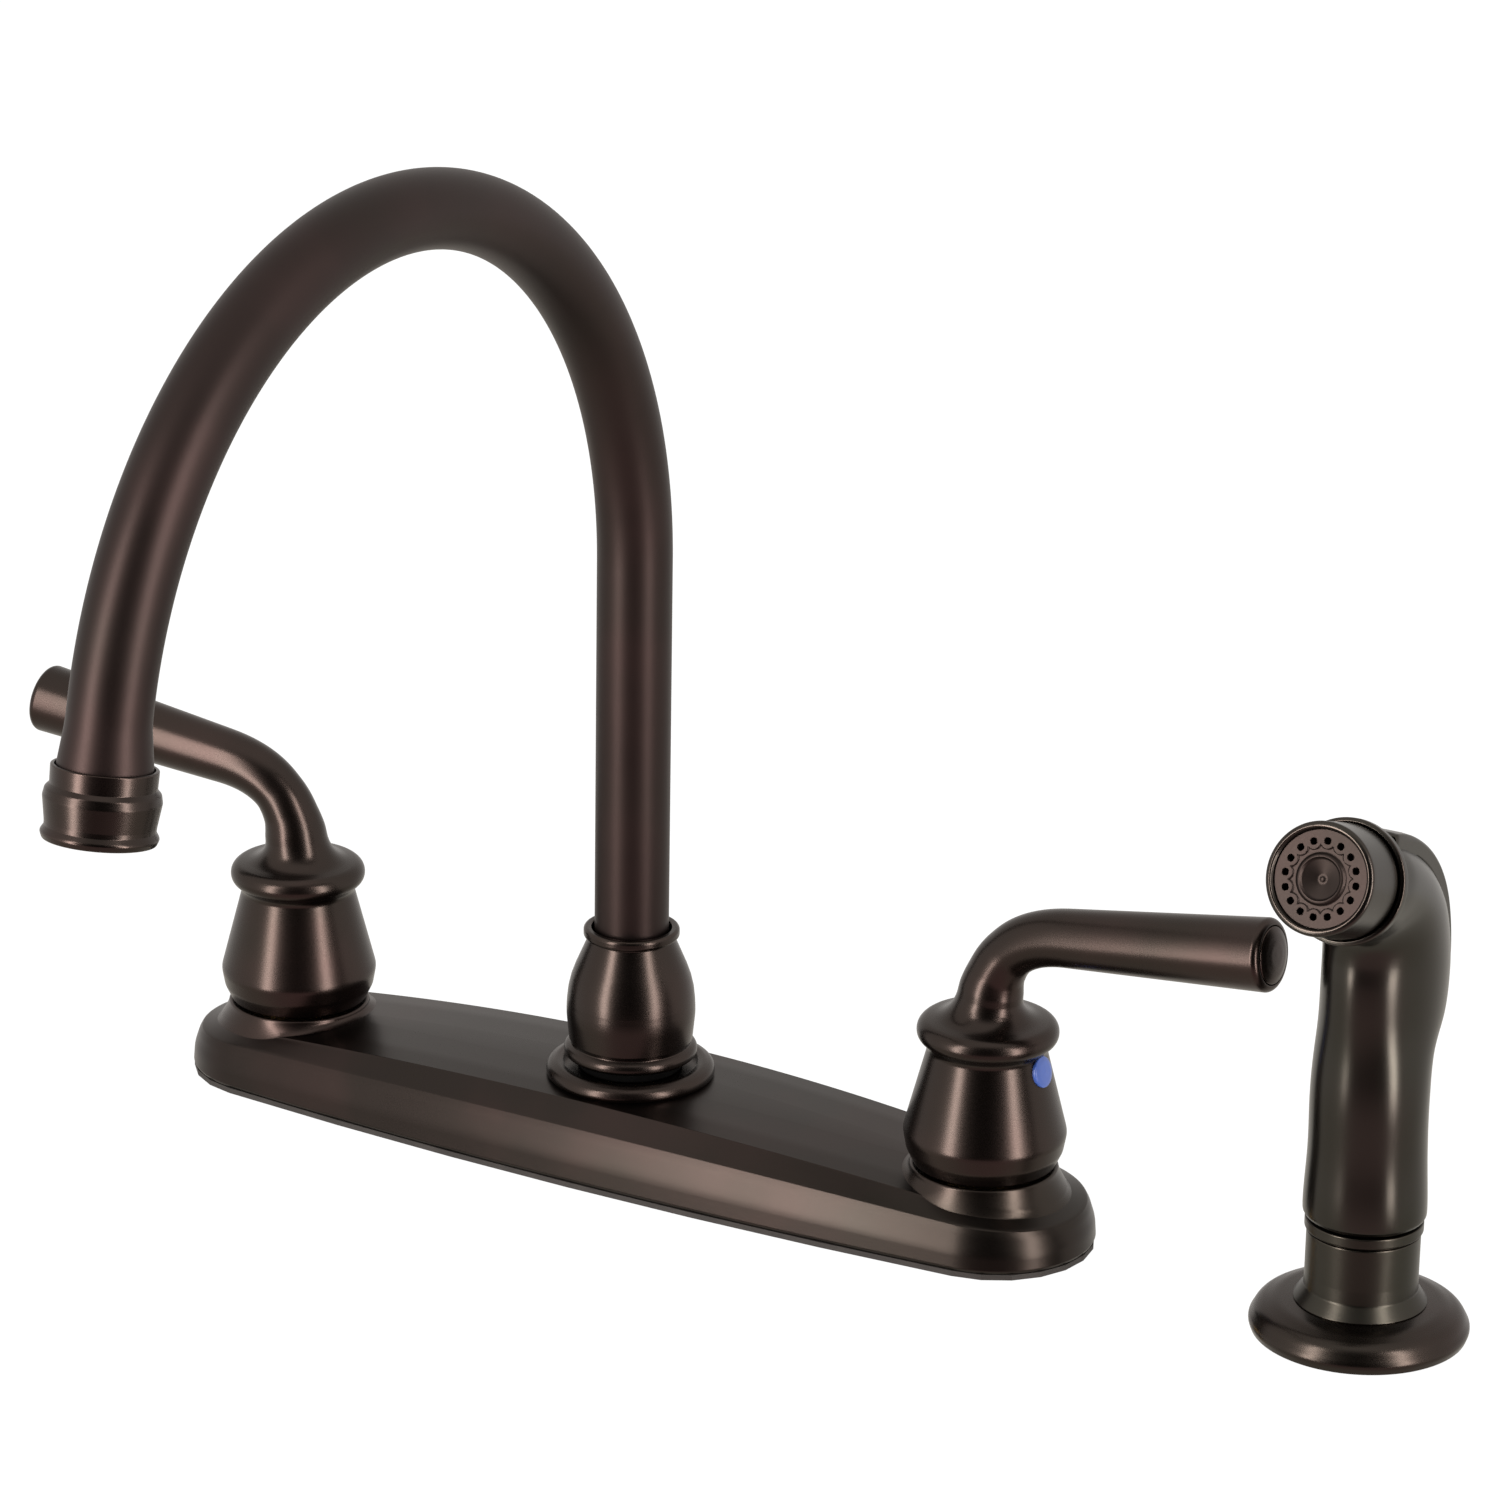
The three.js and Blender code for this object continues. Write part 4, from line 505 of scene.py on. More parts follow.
class Finish(Enum):
    """The finishes of the faucet; each is one material."""

    CAST = SatinMetal("cast_bronze", "bronze")
    TUBE = SatinMetal(
        "drawn_bronze", "bronze", (0.036, 0.026, 0.024), (0.042, 0.029, 0.027), (0.034, 0.027, 0.024),
        roughness=0.44, grain_depth=0.001, wear=0.1)
    DOME = SatinMetal("dome_bronze", "bronze_moulding")
    MATT = SatinMetal(
        "matt_bronze", "bronze", (0.032, 0.026, 0.023), (0.040, 0.029, 0.026), (0.029, 0.026, 0.022),
        roughness=0.30)
    MOULDED = SatinMetal(
        "moulded_bronze", "bronze_moulding", (0.047, 0.043, 0.037), (0.050, 0.043, 0.038),
        (0.043, 0.043, 0.035), roughness=0.24, grain_depth=0.001)
    SLEEVE = SatinMetal(
        "sleeve_bronze", "bronze_moulding", (0.046, 0.042, 0.035), (0.050, 0.043, 0.037),
        (0.043, 0.042, 0.034), roughness=0.32, wear=0.2)
    JET = SatinMetal(
        "jet_bronze", "bronze_moulding", (0.033, 0.027, 0.024), (0.040, 0.030, 0.027),
        (0.030, 0.027, 0.023), roughness=0.42, wear=0.0)
    BRASS = PlainMetal("brass", "brass", (0.60, 0.42, 0.16), (0.35, 0.22, 0.09))
    COPPER = PlainMetal("copper", "copper", (0.62, 0.29, 0.16), (0.32, 0.14, 0.08))
    STEEL = PlainMetal("steel", "steel", (0.52, 0.53, 0.54), (0.36, 0.36, 0.35))
    GREY = Moulding("grey_moulding", "grey_plastic", (0.26, 0.27, 0.27), (0.22, 0.23, 0.23))
    BLACK = Moulding("black_moulding", "black_plastic", (0.011, 0.011, 0.011), (0.016, 0.015, 0.015))
    GASKET = Moulding(
        "gasket_rubber", "rubber", (0.020, 0.017, 0.015), (0.030, 0.026, 0.023), 0.65, 1500, 0.02)
    # painted shade: the glide washer is near black with almost no shine, darker than black plastic alone,
    # so it reads as the shadowed gap between the hub and the base ring
    GLIDE_AND_GAP_SHADE = Moulding(
        "glide_moulding_gap_shade", "black_plastic", (0.004, 0.004, 0.004), (0.006, 0.006, 0.006), 0.8, shine=0.05)
    RUBBER = Moulding("rubber", "rubber", (0.008, 0.008, 0.008), (0.013, 0.013, 0.012), 0.72, 2400, 0.015)
    BLUE = Moulding(
        "blue_button", "blue_plastic", (0.035, 0.085, 0.34), (0.05, 0.11, 0.40), 0.34, 900, 0.004, 0.3)
    RED = Moulding(
        "red_button", "red_plastic", (0.36, 0.035, 0.028), (0.42, 0.05, 0.04), 0.34, 900, 0.004, 0.3)


MATERIALS: dict[Finish, Material] = {}


def dress(obj: Object, finish: Finish, body: str, *nodes: str) -> Object:
    """Gives a piece its finish, the body it rides on and the CAD nodes it stands for.

    Args:
        obj: a piece of this script, or a CAD node that stays.
        finish: its finish.
        body: the moving body that carries it; a CAD node has one already.
        nodes: the CAD nodes that it stands for.

    Returns:
        The same object.
    """
    if finish not in MATERIALS:
        MATERIALS[finish] = finish.value.build()
    obj.data.materials.clear()
    obj.data.materials.append(MATERIALS[finish])
    if "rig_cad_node" not in obj:
        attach(obj, body)
    if nodes:
        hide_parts(*nodes)
    return obj


def turn_out(*pieces: tuple, **place: object) -> None:
    """Makes turned pieces from name, finish, body, CAD node and profile; place goes to lathe()."""
    for name, finish, body, node, corners in pieces:
        dress(lathe(name, corners, **place), finish, body, node)


# ---- deck plate ----
@dataclass
class DeckPlate:
    """The long casting with its wall, bevel, crowned top and two pedestals."""

    overhang: float = 28.4
    half_depth: float = 30.0
    end_radius: float = 25.5
    crown: float = 5.0
    pedestal_radius: float = 18.2
    pedestal_bore: float = 13.4
    bore_foot: float = 11.9
    pedestal_top: float = 19.8
    flare_top: float = 18.9
    flare_radius: float = 20.2
    flare_rows: int = 25
    flare_spread: float = 1.25
    flare_fall: float = 1.35
    profile: Grid = field(init=False)

    def __post_init__(self) -> None:
        """Works out the plan's arcs and the wall's profile as inset and height."""
        self.end_x = HANDLE_X + self.overhang - self.end_radius
        self.side_radius = (self.end_x ** 2 + self.half_depth ** 2 - self.end_radius ** 2) / (
            2 * (self.half_depth - self.end_radius))
        self.offset = self.side_radius - self.half_depth
        self.meet = math.atan2(self.offset, self.end_x)
        wall = [(1.2, 1.6), (0.45, 1.65, 0.2), (0.05, 2.4, 0.6), (0.35, 8.0, 20), (1.6, 13.6, 10),
                (2.35, 15.35, 0.7), (7.5, 20.5, 0.3), (14.0, 21.0, 60), (24.9, 21.3)]
        self.profile = rounded([(-c[0], *c[1:]) for c in wall], 1.0)
        self.profile[:, 0] *= -1

    def ring(self, inset: Grid) -> Grid:
        """Plan points: four arcs whose radii are the plan's less each inset."""
        m = self.meet
        spans = ((0, m, 26, 0), (m, math.pi - m, 120, 1), (math.pi - m, math.pi + m, 52, 2),
                 (math.pi + m, TAU - m, 120, 3), (-m, 0, 26, 0))
        turn = np.concatenate([np.linspace(a, b, count, endpoint=False) for a, b, count, _ in spans])
        kind = np.repeat([span[3] for span in spans], [span[2] for span in spans])
        cx = np.choose(kind, [self.end_x, 0, -self.end_x, 0])
        cy = np.choose(kind, [0, -self.offset, 0, self.offset])
        radius = np.choose(kind, [self.end_radius, self.side_radius] * 2)
        reach = radius[None, :] - inset[:, None]
        return np.dstack([cx + reach * np.cos(turn), cy + reach * np.sin(turn)])

    def lowered(self, x: Grid, z: Grid) -> Grid:
        """Height after the crown: the top falls with x squared, the wall by a share of it."""
        share = np.interp(z, [2.4, 14.2, 15.6, 20.3], [0, 0.48, 0.53, 1.0])
        return z - share * self.crown * (x / HANDLE_X) ** 2

    def top_at(self, x: Grid, y: Grid) -> Grid:
        """Height of the casting's skin over a point of the plan."""
        inset_end = self.end_radius - np.hypot(np.abs(x) - self.end_x, y)
        inset_side = self.side_radius - np.hypot(x, np.abs(y) + self.offset)
        at_end = np.abs(x) - self.end_x > np.abs(y) / math.tan(self.meet)
        inset = np.where(at_end, inset_end, inset_side)
        outer = self.profile[self.profile[:, 1] > 3.0]
        return self.lowered(x, np.interp(inset, outer[:, 0], outer[:, 1]))

    def casting(self) -> Object:
        """The shell: outer skin, inner wall and ceiling, closed along the middle."""
        inner = rounded([(24.0, 18.0), (11.5, 18.0, 2), (5.0, 12.5, 2), (5.0, 1.6, 0.3), (1.2, 1.6)], 2.0)
        rows = np.concatenate([inner[:-1], self.profile])
        plan = self.ring(rows[:, 0])
        x = plan[..., 0]
        z = self.lowered(x, np.broadcast_to(rows[:, 1:2], x.shape))
        grid = np.dstack([plan, z])
        wear = np.r_[np.zeros(len(inner) - 1), self.profile[:, 2]]
        return Skin("deck_plate_casting", grid, wear, ladder=True).build()

    def pedestal(self, name: str, side: int) -> Object:
        """The flared foot under a handle; height = skin + (top - skin) f, with f falling to 0."""
        start, bore = self.pedestal_radius + 0.2, self.pedestal_bore
        top = rounded([(bore, 12.0), (bore, self.pedestal_top, 0.3),
                       (self.pedestal_radius, self.pedestal_top, 0.7), (start, self.flare_top)], 0.8)
        share = np.linspace(0, 1, self.flare_rows + 1)[1:, None]
        turn = np.linspace(0, TAU, 128, endpoint=False)
        outer = self.flare_radius + 2.0 * np.clip(side * np.cos(turn), 0, 1) ** 2
        reach = start + (outer - start) * share ** self.flare_spread
        still = np.ones_like(turn)
        radius = np.concatenate([top[:, :1] * still, reach, [outer - 1], [bore * still]])
        x = side * HANDLE_X + radius * np.cos(turn)
        y = radius * np.sin(turn)
        skin = self.top_at(x, y)
        first, last = len(top), len(top) + self.flare_rows
        z = skin - 2.0
        z[:first] = top[:, 1:2]
        near = skin[first:last]
        fall = (1 - share) ** self.flare_fall
        z[first:last] = near + (self.flare_top - near) * fall - 0.06 * share ** 6
        z[-1] = self.bore_foot
        wear = np.r_[top[:, 2], np.zeros(self.flare_rows + 2)]
        return Skin(name, np.dstack([x, y, z]), wear, loop=True).build()

    def build(self) -> None:
        """Makes the plate and its pedestals."""
        plate = dress(self.casting(), Finish.MATT, "base", "deck_plate")
        for name, side in (("hot_pedestal", -1), ("cold_pedestal", 1)):
            foot = dress(self.pedestal(name, side), Finish.CAST, "base")
            foot.parent = plate.parent
        LOG.info("deck plate: %d vertices", len(plate.data.vertices))


# ---- handles ----
@dataclass
class LeverHandle:
    """A bell with a flange, drawn out into a bent lever with a domed plug in its tip."""

    name: str
    side: int
    yaw: float
    button: Finish
    button_radius: float = 3.9
    button_rise: float = 1.0
    root: float = 57.8
    lever_height: float = 83.1
    bend_reach: float = 21.5
    bend_drop: float = 11.5
    bend_pull: float = 0.78
    chord: float = 0.6
    rise: float = 7.9
    reach: float = 75.65
    bell_wide: Pair = (20.15, 28.6)
    bell_neck: Pair = (14.5, 50.45)
    button_height: float = 47.1

    def centreline(self) -> tuple[Grid, Grid]:
        """Stations up the axis, along the cubic bend and out the straight lever.

        Returns:
            Distance along the line, and the points as distance from the axis and height.
        """
        slope = math.tan(math.radians(self.rise))
        pull = self.bend_pull * self.bend_reach
        p = np.array([[0, self.root], [0, self.lever_height - self.bend_drop],
                      [self.bend_reach - pull, self.lever_height - pull * slope],
                      [self.bend_reach, self.lever_height]], float)
        t = np.linspace(0, 1, 400)[:, None]
        bend = ((1 - t) ** 3 * p[0] + 3 * (1 - t) ** 2 * t * p[1] + 3 * (1 - t) * t ** 2 * p[2]
                + t ** 3 * p[3])
        beyond = self.reach + 4
        end = [[beyond, self.lever_height + (beyond - self.bend_reach) * slope]]
        line = np.concatenate([[[0, 0]], bend, end])
        along = np.r_[0, np.cumsum(np.linalg.norm(np.diff(line, axis=0), axis=1))]
        return along, line

    def stations(self, s: Grid) -> tuple[Grid, Grid]:
        """Points and leans at distances s along the line; the lean is that of a short chord."""
        along, line = self.centreline()

        def at(d: Grid) -> Grid:
            """The points at distances d."""
            return np.c_[np.interp(d, along, line[:, 0]), np.interp(d, along, line[:, 1])]

        here = at(s)
        chord = at(np.minimum(s + self.chord, along[-1])) - at(s - self.chord)
        lean = np.arctan2(chord[:, 0], chord[:, 1])
        return np.c_[here[:, 0], 0 * s, here[:, 1]], lean

    def tip(self) -> float:
        """Distance along the line to the lever's end face."""
        along, line = self.centreline()
        return float(np.interp(self.reach, line[:, 0], along))

    def carried(self, part: str, corners: Rows, step: float, sides: int) -> Object:
        """A profile of radius, distance along the line and fillet radius, carried along it."""
        profile = rounded(corners, step)
        radius, along, wear = profile[profile[:, 0] > 1e-3].T
        grid = placed(swept(*self.stations(along), radius, sides), spin("Z", self.yaw),
                      (self.side * HANDLE_X, 0, 0))
        return Skin(f"{self.name}_{part}", grid, wear).build()

    def casting(self) -> Object:
        """Bell, flange and lever as one profile."""
        tip = self.tip()
        return self.carried("handle_casting", [
            (0, 38.6), (12.4, 38.6, 1.5), (15.2, 28, 2), (15.5, 20.45, 0.3), (17.55, 20.4, 0.7),
            (19.35, 24.2, 3.5), (*self.bell_wide, 4.5), (*self.bell_neck, 2.2), (15.61, 51.79, 0.1),
            (17.4, 52.6, 3.1), (17.4, 57.2, 3.1), (8.4, 59.2, 6.5), (7.9, 66.0, 10), (7.1, 70.4, 14),
            (6.6, 77.4, 24), (6.9, 87, 30), (7.25, 97, 30), (8.95, tip, 1.8), (7.15, tip, 0.15),
            (7.1, tip - 2.4), (0, tip - 2.4)], 0.9, 112)

    def plug(self) -> Object:
        """The domed plug in the tip."""
        tip = self.tip()
        return self.carried("lever_plug", [
            (0, tip - 2.3), (6.9, tip - 2.3), (6.9, tip + 0.15, 0.35), (5.2, tip + 0.7, 6),
            (2.8, tip + 1.0, 10), (0, tip + 1.05)], 0.5, 64)

    def index_button(self) -> Object:
        """The coloured button, a shallow dome that leans with the bell's side."""
        (wide, low), (neck, high) = self.bell_wide, self.bell_neck
        slope = math.degrees(math.atan2(wide - neck, high - low))
        height = self.button_height
        place = np.array([neck + (high - height) * math.tan(math.radians(slope)), 0, height])
        centre = placed(place, spin("Z", self.yaw), (self.side * HANDLE_X, 0, 0))
        r, rise = self.button_radius, self.button_rise
        corners = [(0, -1.3), (r, -1.3), (r, rise - 0.55, 0.5), (0.67 * r, rise - 0.15, 3), (0, rise)]
        return lathe(f"{self.name}_index_dome", corners, spin("Z", self.yaw) @ spin("Y", 90 - slope),
                     centre, 64, 0.4)

    def build(self) -> None:
        """Makes the handle's pieces on its own body."""
        body = f"{self.name}_handle"
        dress(self.casting(), Finish.CAST, body, f"{self.name}_handle")
        dress(self.plug(), Finish.CAST, body, f"{self.name}_handle_cap")
        dress(self.index_button(), self.button, body, f"{self.name}_index_button")
        LOG.info("%s handle", self.name)


# ---- spout ----
@dataclass
class Spout:
    """Base ring, turned hub, bent tube and the outlet with its aerator."""

    tube_radius: float = 9.35
    wall: float = 1.5
    arch_radius: float = 109.0
    arch_start: float = 156.85
    sweep: float = 170.0
    drop: float = 24.0
    socket: float = 14.9

    def line(self, s: Grid) -> tuple[Grid, Grid]:
        """The centreline by distance from the deck: a straight, an arc and a straight."""
        a = self.arch_start
        arc = math.radians(self.sweep)
        b = a + self.arch_radius * arc
        turn = np.clip((s - a) / self.arch_radius, 0, arc)
        x = self.arch_radius * (1 - np.cos(turn)) + np.maximum(s - b, 0) * math.sin(arc)
        z = np.minimum(s, a) + self.arch_radius * np.sin(turn) + np.maximum(s - b, 0) * math.cos(arc)
        return np.c_[x, 0 * x, z], turn

    def mouth(self) -> float:
        """Distance along the line to the aerator's mouth."""
        return self.arch_start + self.arch_radius * math.radians(self.sweep) + self.drop

    def tube(self) -> Object:
        """The tube with its bore: outside up to the flare, then back down the inside."""
        end = self.mouth() - self.socket
        out = rounded([(8.5, 22.4), (8.5, 36, 0), (self.tube_radius, 36.6, 0),
                       (self.tube_radius, end - 11, 26), (self.tube_radius + 1.35, end)], 1.6)
        bore = out[::-1][:, :2] - [self.wall, 0]
        profile = np.concatenate([out[:, :2], bore])
        centres, leans = self.line(profile[:, 1])
        grid = placed(swept(centres, leans, profile[:, 0], 80), spin("Z", -90), (0, 0, 0))
        return Skin("spout_tube_bent", grid, loop=True).build()

    def outlet(self, name: str, corners: Rows, sides: int = 96) -> Object:
        """A turned piece drawn with the mouth at z = 0, set at the end of the tube."""
        centre, _ = self.line(np.array([self.mouth()]))
        place = (0, -centre[0, 0], centre[0, 2])
        return lathe(name, corners, spin("X", self.sweep - 180), place, sides, 0.5)

    def housing(self) -> Object:
        """Collar, belly, tapered band and bottom bead of the outlet."""
        return self.outlet("aerator_housing_shell", [
            (10.2, 0.0), (12.35, 0.0, 0.5), (12.95, 1.5, 0.9), (12.1, 2.9, 0.45), (12.15, 3.9, 1.5),
            (12.95, 9.3, 1.4), (12.6, 11.1, 0.9), (11.65, 12.1, 0.35), (11.75, 16.2, 0.3),
            (11.35, 16.4, 0.2), (10.9, 16.4, 0.2), (10.85, 14.2), (8.6, 14.0), (8.6, 12.2),
            (10.2, 12.0), (10.2, 0.0)])

    def aerator(self) -> Object:
        """The cage in the mouth: three rings and a hub on a recessed disc."""
        rings = [(0, 7.9), (9.8, 7.9), (9.8, 1.0, 0.4), (8.7, 1.0, 0.2), (8.7, 2.6)]
        for r in (6.7, 4.5, 2.3):
            rings += [(r + 0.55, 2.6), (r + 0.45, 1.3, 0.2), (r - 0.45, 1.3, 0.2), (r - 0.55, 2.6)]
        return self.outlet("aerator_cage", rings + [(0.9, 2.6), (0.8, 1.2, 0.3), (0, 1.1)], 72)

    def build(self) -> None:
        """Makes the fixed base ring and the swinging pieces."""
        turn_out(
            ("spout_base_bead", Finish.CAST, "base", "spout_base_ring", [
                (12.3, 20.4), (20.5, 20.4, 0.2), (21.45, 21.7, 1.4), (21.2, 23.8, 2.2),
                (18.8, 24.8, 2.2), (17.1, 24.7, 0.4), (16.7, 23.2, 0.2), (12.3, 23.2), (12.3, 20.4)]),
            ("spout_hub_turned", Finish.CAST, "spout", "spout_hub", [
                (12.5, 26.4), (16.85, 26.35, 1.2), (16.85, 28.8, 1.6), (15.25, 29.8, 0.3),
                (15.65, 30.9, 0.6), (16.35, 38.0, 22), (15.9, 46.0, 26), (10.75, 58.0, 0.5),
                (12.1, 58.1, 0.9), (12.1, 60.7, 0.9), (10.1, 60.6, 0.4), (9.95, 57.2, 0),
                (9.95, 36.8), (12.5, 35.2), (12.5, 26.4)]),
            # painted shade: the washer's near-black, dull finish stands in for the shadow in the gap
            # under the hub
            ("spout_glide_washer_gap_shade", Finish.GLIDE_AND_GAP_SHADE, "spout", "spout_glide_ring", [
                (12.4, 23.4), (13.2, 23.4, 0.2), (13.2, 26.2, 0.2), (12.4, 26.2), (12.4, 23.4)]))
        dress(self.tube(), Finish.TUBE, "spout", "spout_tube")
        dress(self.housing(), Finish.CAST, "spout", "aerator_housing")
        dress(self.aerator(), Finish.GREY, "spout", "aerator_insert")
        LOG.info("spout")


# ---- sprayer ----
@dataclass
class Sprayer:
    """The side sprayer: escutcheon, guide, moulded handle with trigger, and head."""

    tilt: float = 20.0
    head: Pair = (-22.4, 121.0)
    arc_centre: Pair = (-19.0, 88.0)
    arc_radius: float = 44.8
    trigger_width: float = 15.0
    trigger_height: float = 3.0
    trigger_span: Pair = (0.3, 78.4)  # degrees round the arc
    trigger_rows: int = 94
    bury: float = 2.2  # of its upper end's lower side
    gap: Pair = (0.08, 0.5)  # beside the trigger, at the recess's floor and rim
    recess_depth: float = 4.15
    recess_foot: Pair = (-4.0, -3.4)  # degrees round the arc, as the next two
    recess_head: Pair = (66, 69)
    bury_span: Pair = (58, 68)
    recess_columns: tuple[int, ...] = (20, 3, 30, 3, 20, 72)
    pin: Pair = (-2.45, 123.48)  # 39.15 from the arc's centre, at 65 degrees
    pin_turn: float = 65.0
    press_depth: float = 3.42  # 39.15 times the press of 5 degrees in radians
    swell: float = 0.17
    swell_top: float = 33.3
    swell_pitch: float = 29.0
    swell_fade: Pair = (96, 102)
    body_rows: int = 170
    jets: int = 16
    jet_circle: float = 8.75
    jet_floor: float = 11.8
    face_back: float = 11.0

    def at_head(self) -> tuple[Matrix, tuple[float, float, float]]:
        """Turn and place of a piece drawn along Z that looks out of the head."""
        return spin("X", 90 - self.tilt), (SPRAYER_X, *self.head)

    def fall(self, degrees: Grid) -> Grid:
        """How far the shoulder lies inside the arc; it grows from 20 to 64 degrees round it."""
        return 2.0 * smooth_step(degrees, 20, 64)

    def on_arc(self, radius: Grid, turn: Grid) -> tuple[Grid, Grid]:
        """Y and z at a radius and a turn about the arc's centre."""
        return self.arc_centre[0] + radius * np.cos(turn), self.arc_centre[1] + radius * np.sin(turn)

    def front_line(self) -> Grid:
        """Points down the front and under the collar, as y and z."""
        return np.array([
            (-13.3, 29.6), (-14.3, 30.7), (-14.7, 33), (-14.9, 46), (-15.0, 60), (-15.05, 72),
            (-15.1, 84), (-15.1, 92), (-15.1, 98), (-15.8, 102.4), (-18.1, 105.4), (-21.4, 107.2),
            (-24.9, 108.8), (-26.6, 109.6)])

    def back_line(self) -> Grid:
        """Points up the back: waist, bulge, then the shoulder inside the trigger's arc."""
        turn = np.radians([2, 14, 27, 41, 55, 69, 80])
        r = self.arc_radius - 1.6 - self.fall(np.degrees(turn))
        low = [(13.3, 29.6), (14.2, 30.7), (14.5, 33), (13.9, 46), (13.4, 60), (15.4, 71), (22.4, 79)]
        return np.concatenate([low, np.c_[self.on_arc(r, turn)]])

    def body(self) -> Object:
        """The moulded handle: ellipses between the front and back lines, turning into the head.

        Ring i lies across the line from its front point F to its back point B:
        p = (F + B) / 2 + w cos t X + |B - F| / 2 sin t (B - F) / |B - F|.
        The front swells a little for the fingers, as a cosine of the height.
        """
        front, back = self.front_line(), self.back_line()
        width = np.array([13.3, 14.3, 14.6, 14.2, 13.9, 13.8, 13.8, 13.8, 13.8, 13.7, 13.6, 13.7,
                          13.9, 13.9])
        knots = np.arange(len(front), dtype=float)
        fine = np.linspace(0, len(front) - 1, self.body_rows)
        table = np.c_[front, back, width]
        smooth = np.array([spline(knots, column, fine) for column in table.T]).T
        f, b, w = smooth[:, 0:2], smooth[:, 2:4], smooth[:, 4]
        swell = self.swell * np.cos(TAU * (f[:, 1] - self.swell_top) / self.swell_pitch)
        swell = swell * (1 - smooth_step(f[:, 1], *self.swell_fade))
        f = np.c_[f[:, 0] - swell, f[:, 1]]
        w = w + 0.6 * swell
        turn = self.columns(w)
        middle, half = (f + b) / 2, (b - f) / 2
        x = w[:, None] * np.cos(turn)
        yz = middle[:, None, :] + half[:, None, :] * np.sin(turn)[..., None]
        yz = self.recess(x, yz, turn)
        return Skin("sprayer_handle_body", np.dstack([SPRAYER_X + x, yz])).build()

    def columns(self, width: Grid) -> Grid:
        """Angles round each ring, with columns on both edges of the trigger's recess."""
        edge = self.trigger_width / 2
        inner, outer = (np.arccos((edge + gap) / width) for gap in self.gap)
        none, half = 0 * width, 0 * width + math.pi
        stops = np.stack([none, outer, inner, half - inner, half - outer, half, 2 * half], axis=1)
        share = np.concatenate([k + np.arange(n) / n for k, n in enumerate(self.recess_columns)])
        k = share.astype(int)
        return stops[:, k] + (stops[:, k + 1] - stops[:, k]) * (share - k)

    def recess(self, x: Grid, yz: Grid, turn: Grid) -> Grid:
        """Sinks the strip behind the trigger by the room that a press needs.

        A press turns the trigger about its pin, so a point of it at a degrees round the arc
        moves inwards by press_depth * sin(pin_turn - a), and its foot moves down.
        """
        arm = yz - self.arc_centre
        r = np.hypot(arm[..., 0], arm[..., 1])
        a = np.degrees(np.arctan2(arm[..., 1], arm[..., 0]))
        floor, rim = (self.trigger_width / 2 + gap for gap in self.gap)
        in_width = 1 - smooth_step(np.abs(x), floor, rim)
        along = smooth_step(a, *self.recess_foot) * (1 - smooth_step(a, *self.recess_head))
        lever = np.radians(np.clip(self.pin_turn - a, 0, 90))
        depth = self.recess_depth + self.fall(a) + self.press_depth * np.sin(lever)
        back = np.sin(turn) > 0.2
        new = r + (np.minimum(r, self.arc_radius - depth) - r) * in_width * along * back
        return self.arc_centre + arm * (new / np.maximum(r, 1e-6))[..., None]

    def trigger(self) -> Object:
        """The thumb lever: a rounded strip along the arc; its upper end dips into the handle."""
        t, w = self.trigger_height, self.trigger_width / 2
        section = rounded([(0, 0.3), (w, -0.9, 0.4), (w, t, 0.9), (w - 2.5, t + 0.25, 6),
                           (-w + 2.5, t + 0.25, 6), (-w, t, 0.9), (-w, -0.9, 0.4), (0, 0.3)], 0.9)[:-1]
        across, height = section[None, :, 0], section[None, :, 1]
        degrees = np.linspace(*self.trigger_span, self.trigger_rows)[:, None]
        turn = np.radians(degrees)
        rank = np.arange(self.trigger_rows)[:, None]
        inward = np.minimum(np.minimum(rank, rank[::-1]) / 3 + 0.25, 1)
        full = np.sqrt(np.clip(1 - (1 - inward) ** 2, 0, 1))
        bury = self.bury * smooth_step(degrees, *self.bury_span) * np.clip(1 - height / t, 0, 1)
        r = self.arc_radius - self.fall(degrees) - t - bury + height * full + t / 2 * (1 - full)
        x = SPRAYER_X + across * (0.9 + 0.1 * full)
        return Skin("sprayer_trigger_lever", np.dstack([x, *self.on_arc(r, turn)])).build()

    def face(self) -> Object:
        """The spray face as heights over a polar grid: jets in round bosses, a bead and a dish."""
        r = np.r_[np.linspace(0.05, 6.6, 44), np.linspace(6.7, 10.9, 46), [11.1, 11.2, 11.2]]
        turn = np.linspace(0, TAU, 20 * self.jets, endpoint=False)
        rr, tt = np.meshgrid(r, turn, indexing="ij")
        base = np.interp(rr, [0, 0.35, 0.7, 1.2, 4.6, 5.1, 5.6, 6.1, 10.6, 11.1], [
            12.95, 12.95, 12.72, 12.72, 13.9, 14.5, 14.35, 13.75, 13.75, 13.75])
        pitch = TAU / self.jets
        near = (tt + pitch / 2) % pitch - pitch / 2
        d = np.hypot(rr * np.cos(near) - self.jet_circle, rr * np.sin(near))
        raised = 0.28 * np.maximum(1 - smooth_step(d, 1.75, 2.0), smooth_step(rr, 8.5, 8.9))
        hole = smooth_step(-d, -0.85, -0.65)
        z = (base + raised) * (1 - hole) + self.jet_floor * hole
        z[-1] = self.face_back
        grid = np.dstack([rr * np.cos(tt), rr * np.sin(tt), z])
        r, t = 0.1 * rr[:1], tt[:1]
        back = np.dstack([r * np.cos(t), r * np.sin(t), 0 * t + self.face_back])
        grid = np.concatenate([grid, back])
        wear = np.concatenate([hole, np.zeros_like(hole[:1])])
        return Skin("sprayer_face_disc", placed(grid, *self.at_head()), wear).build()

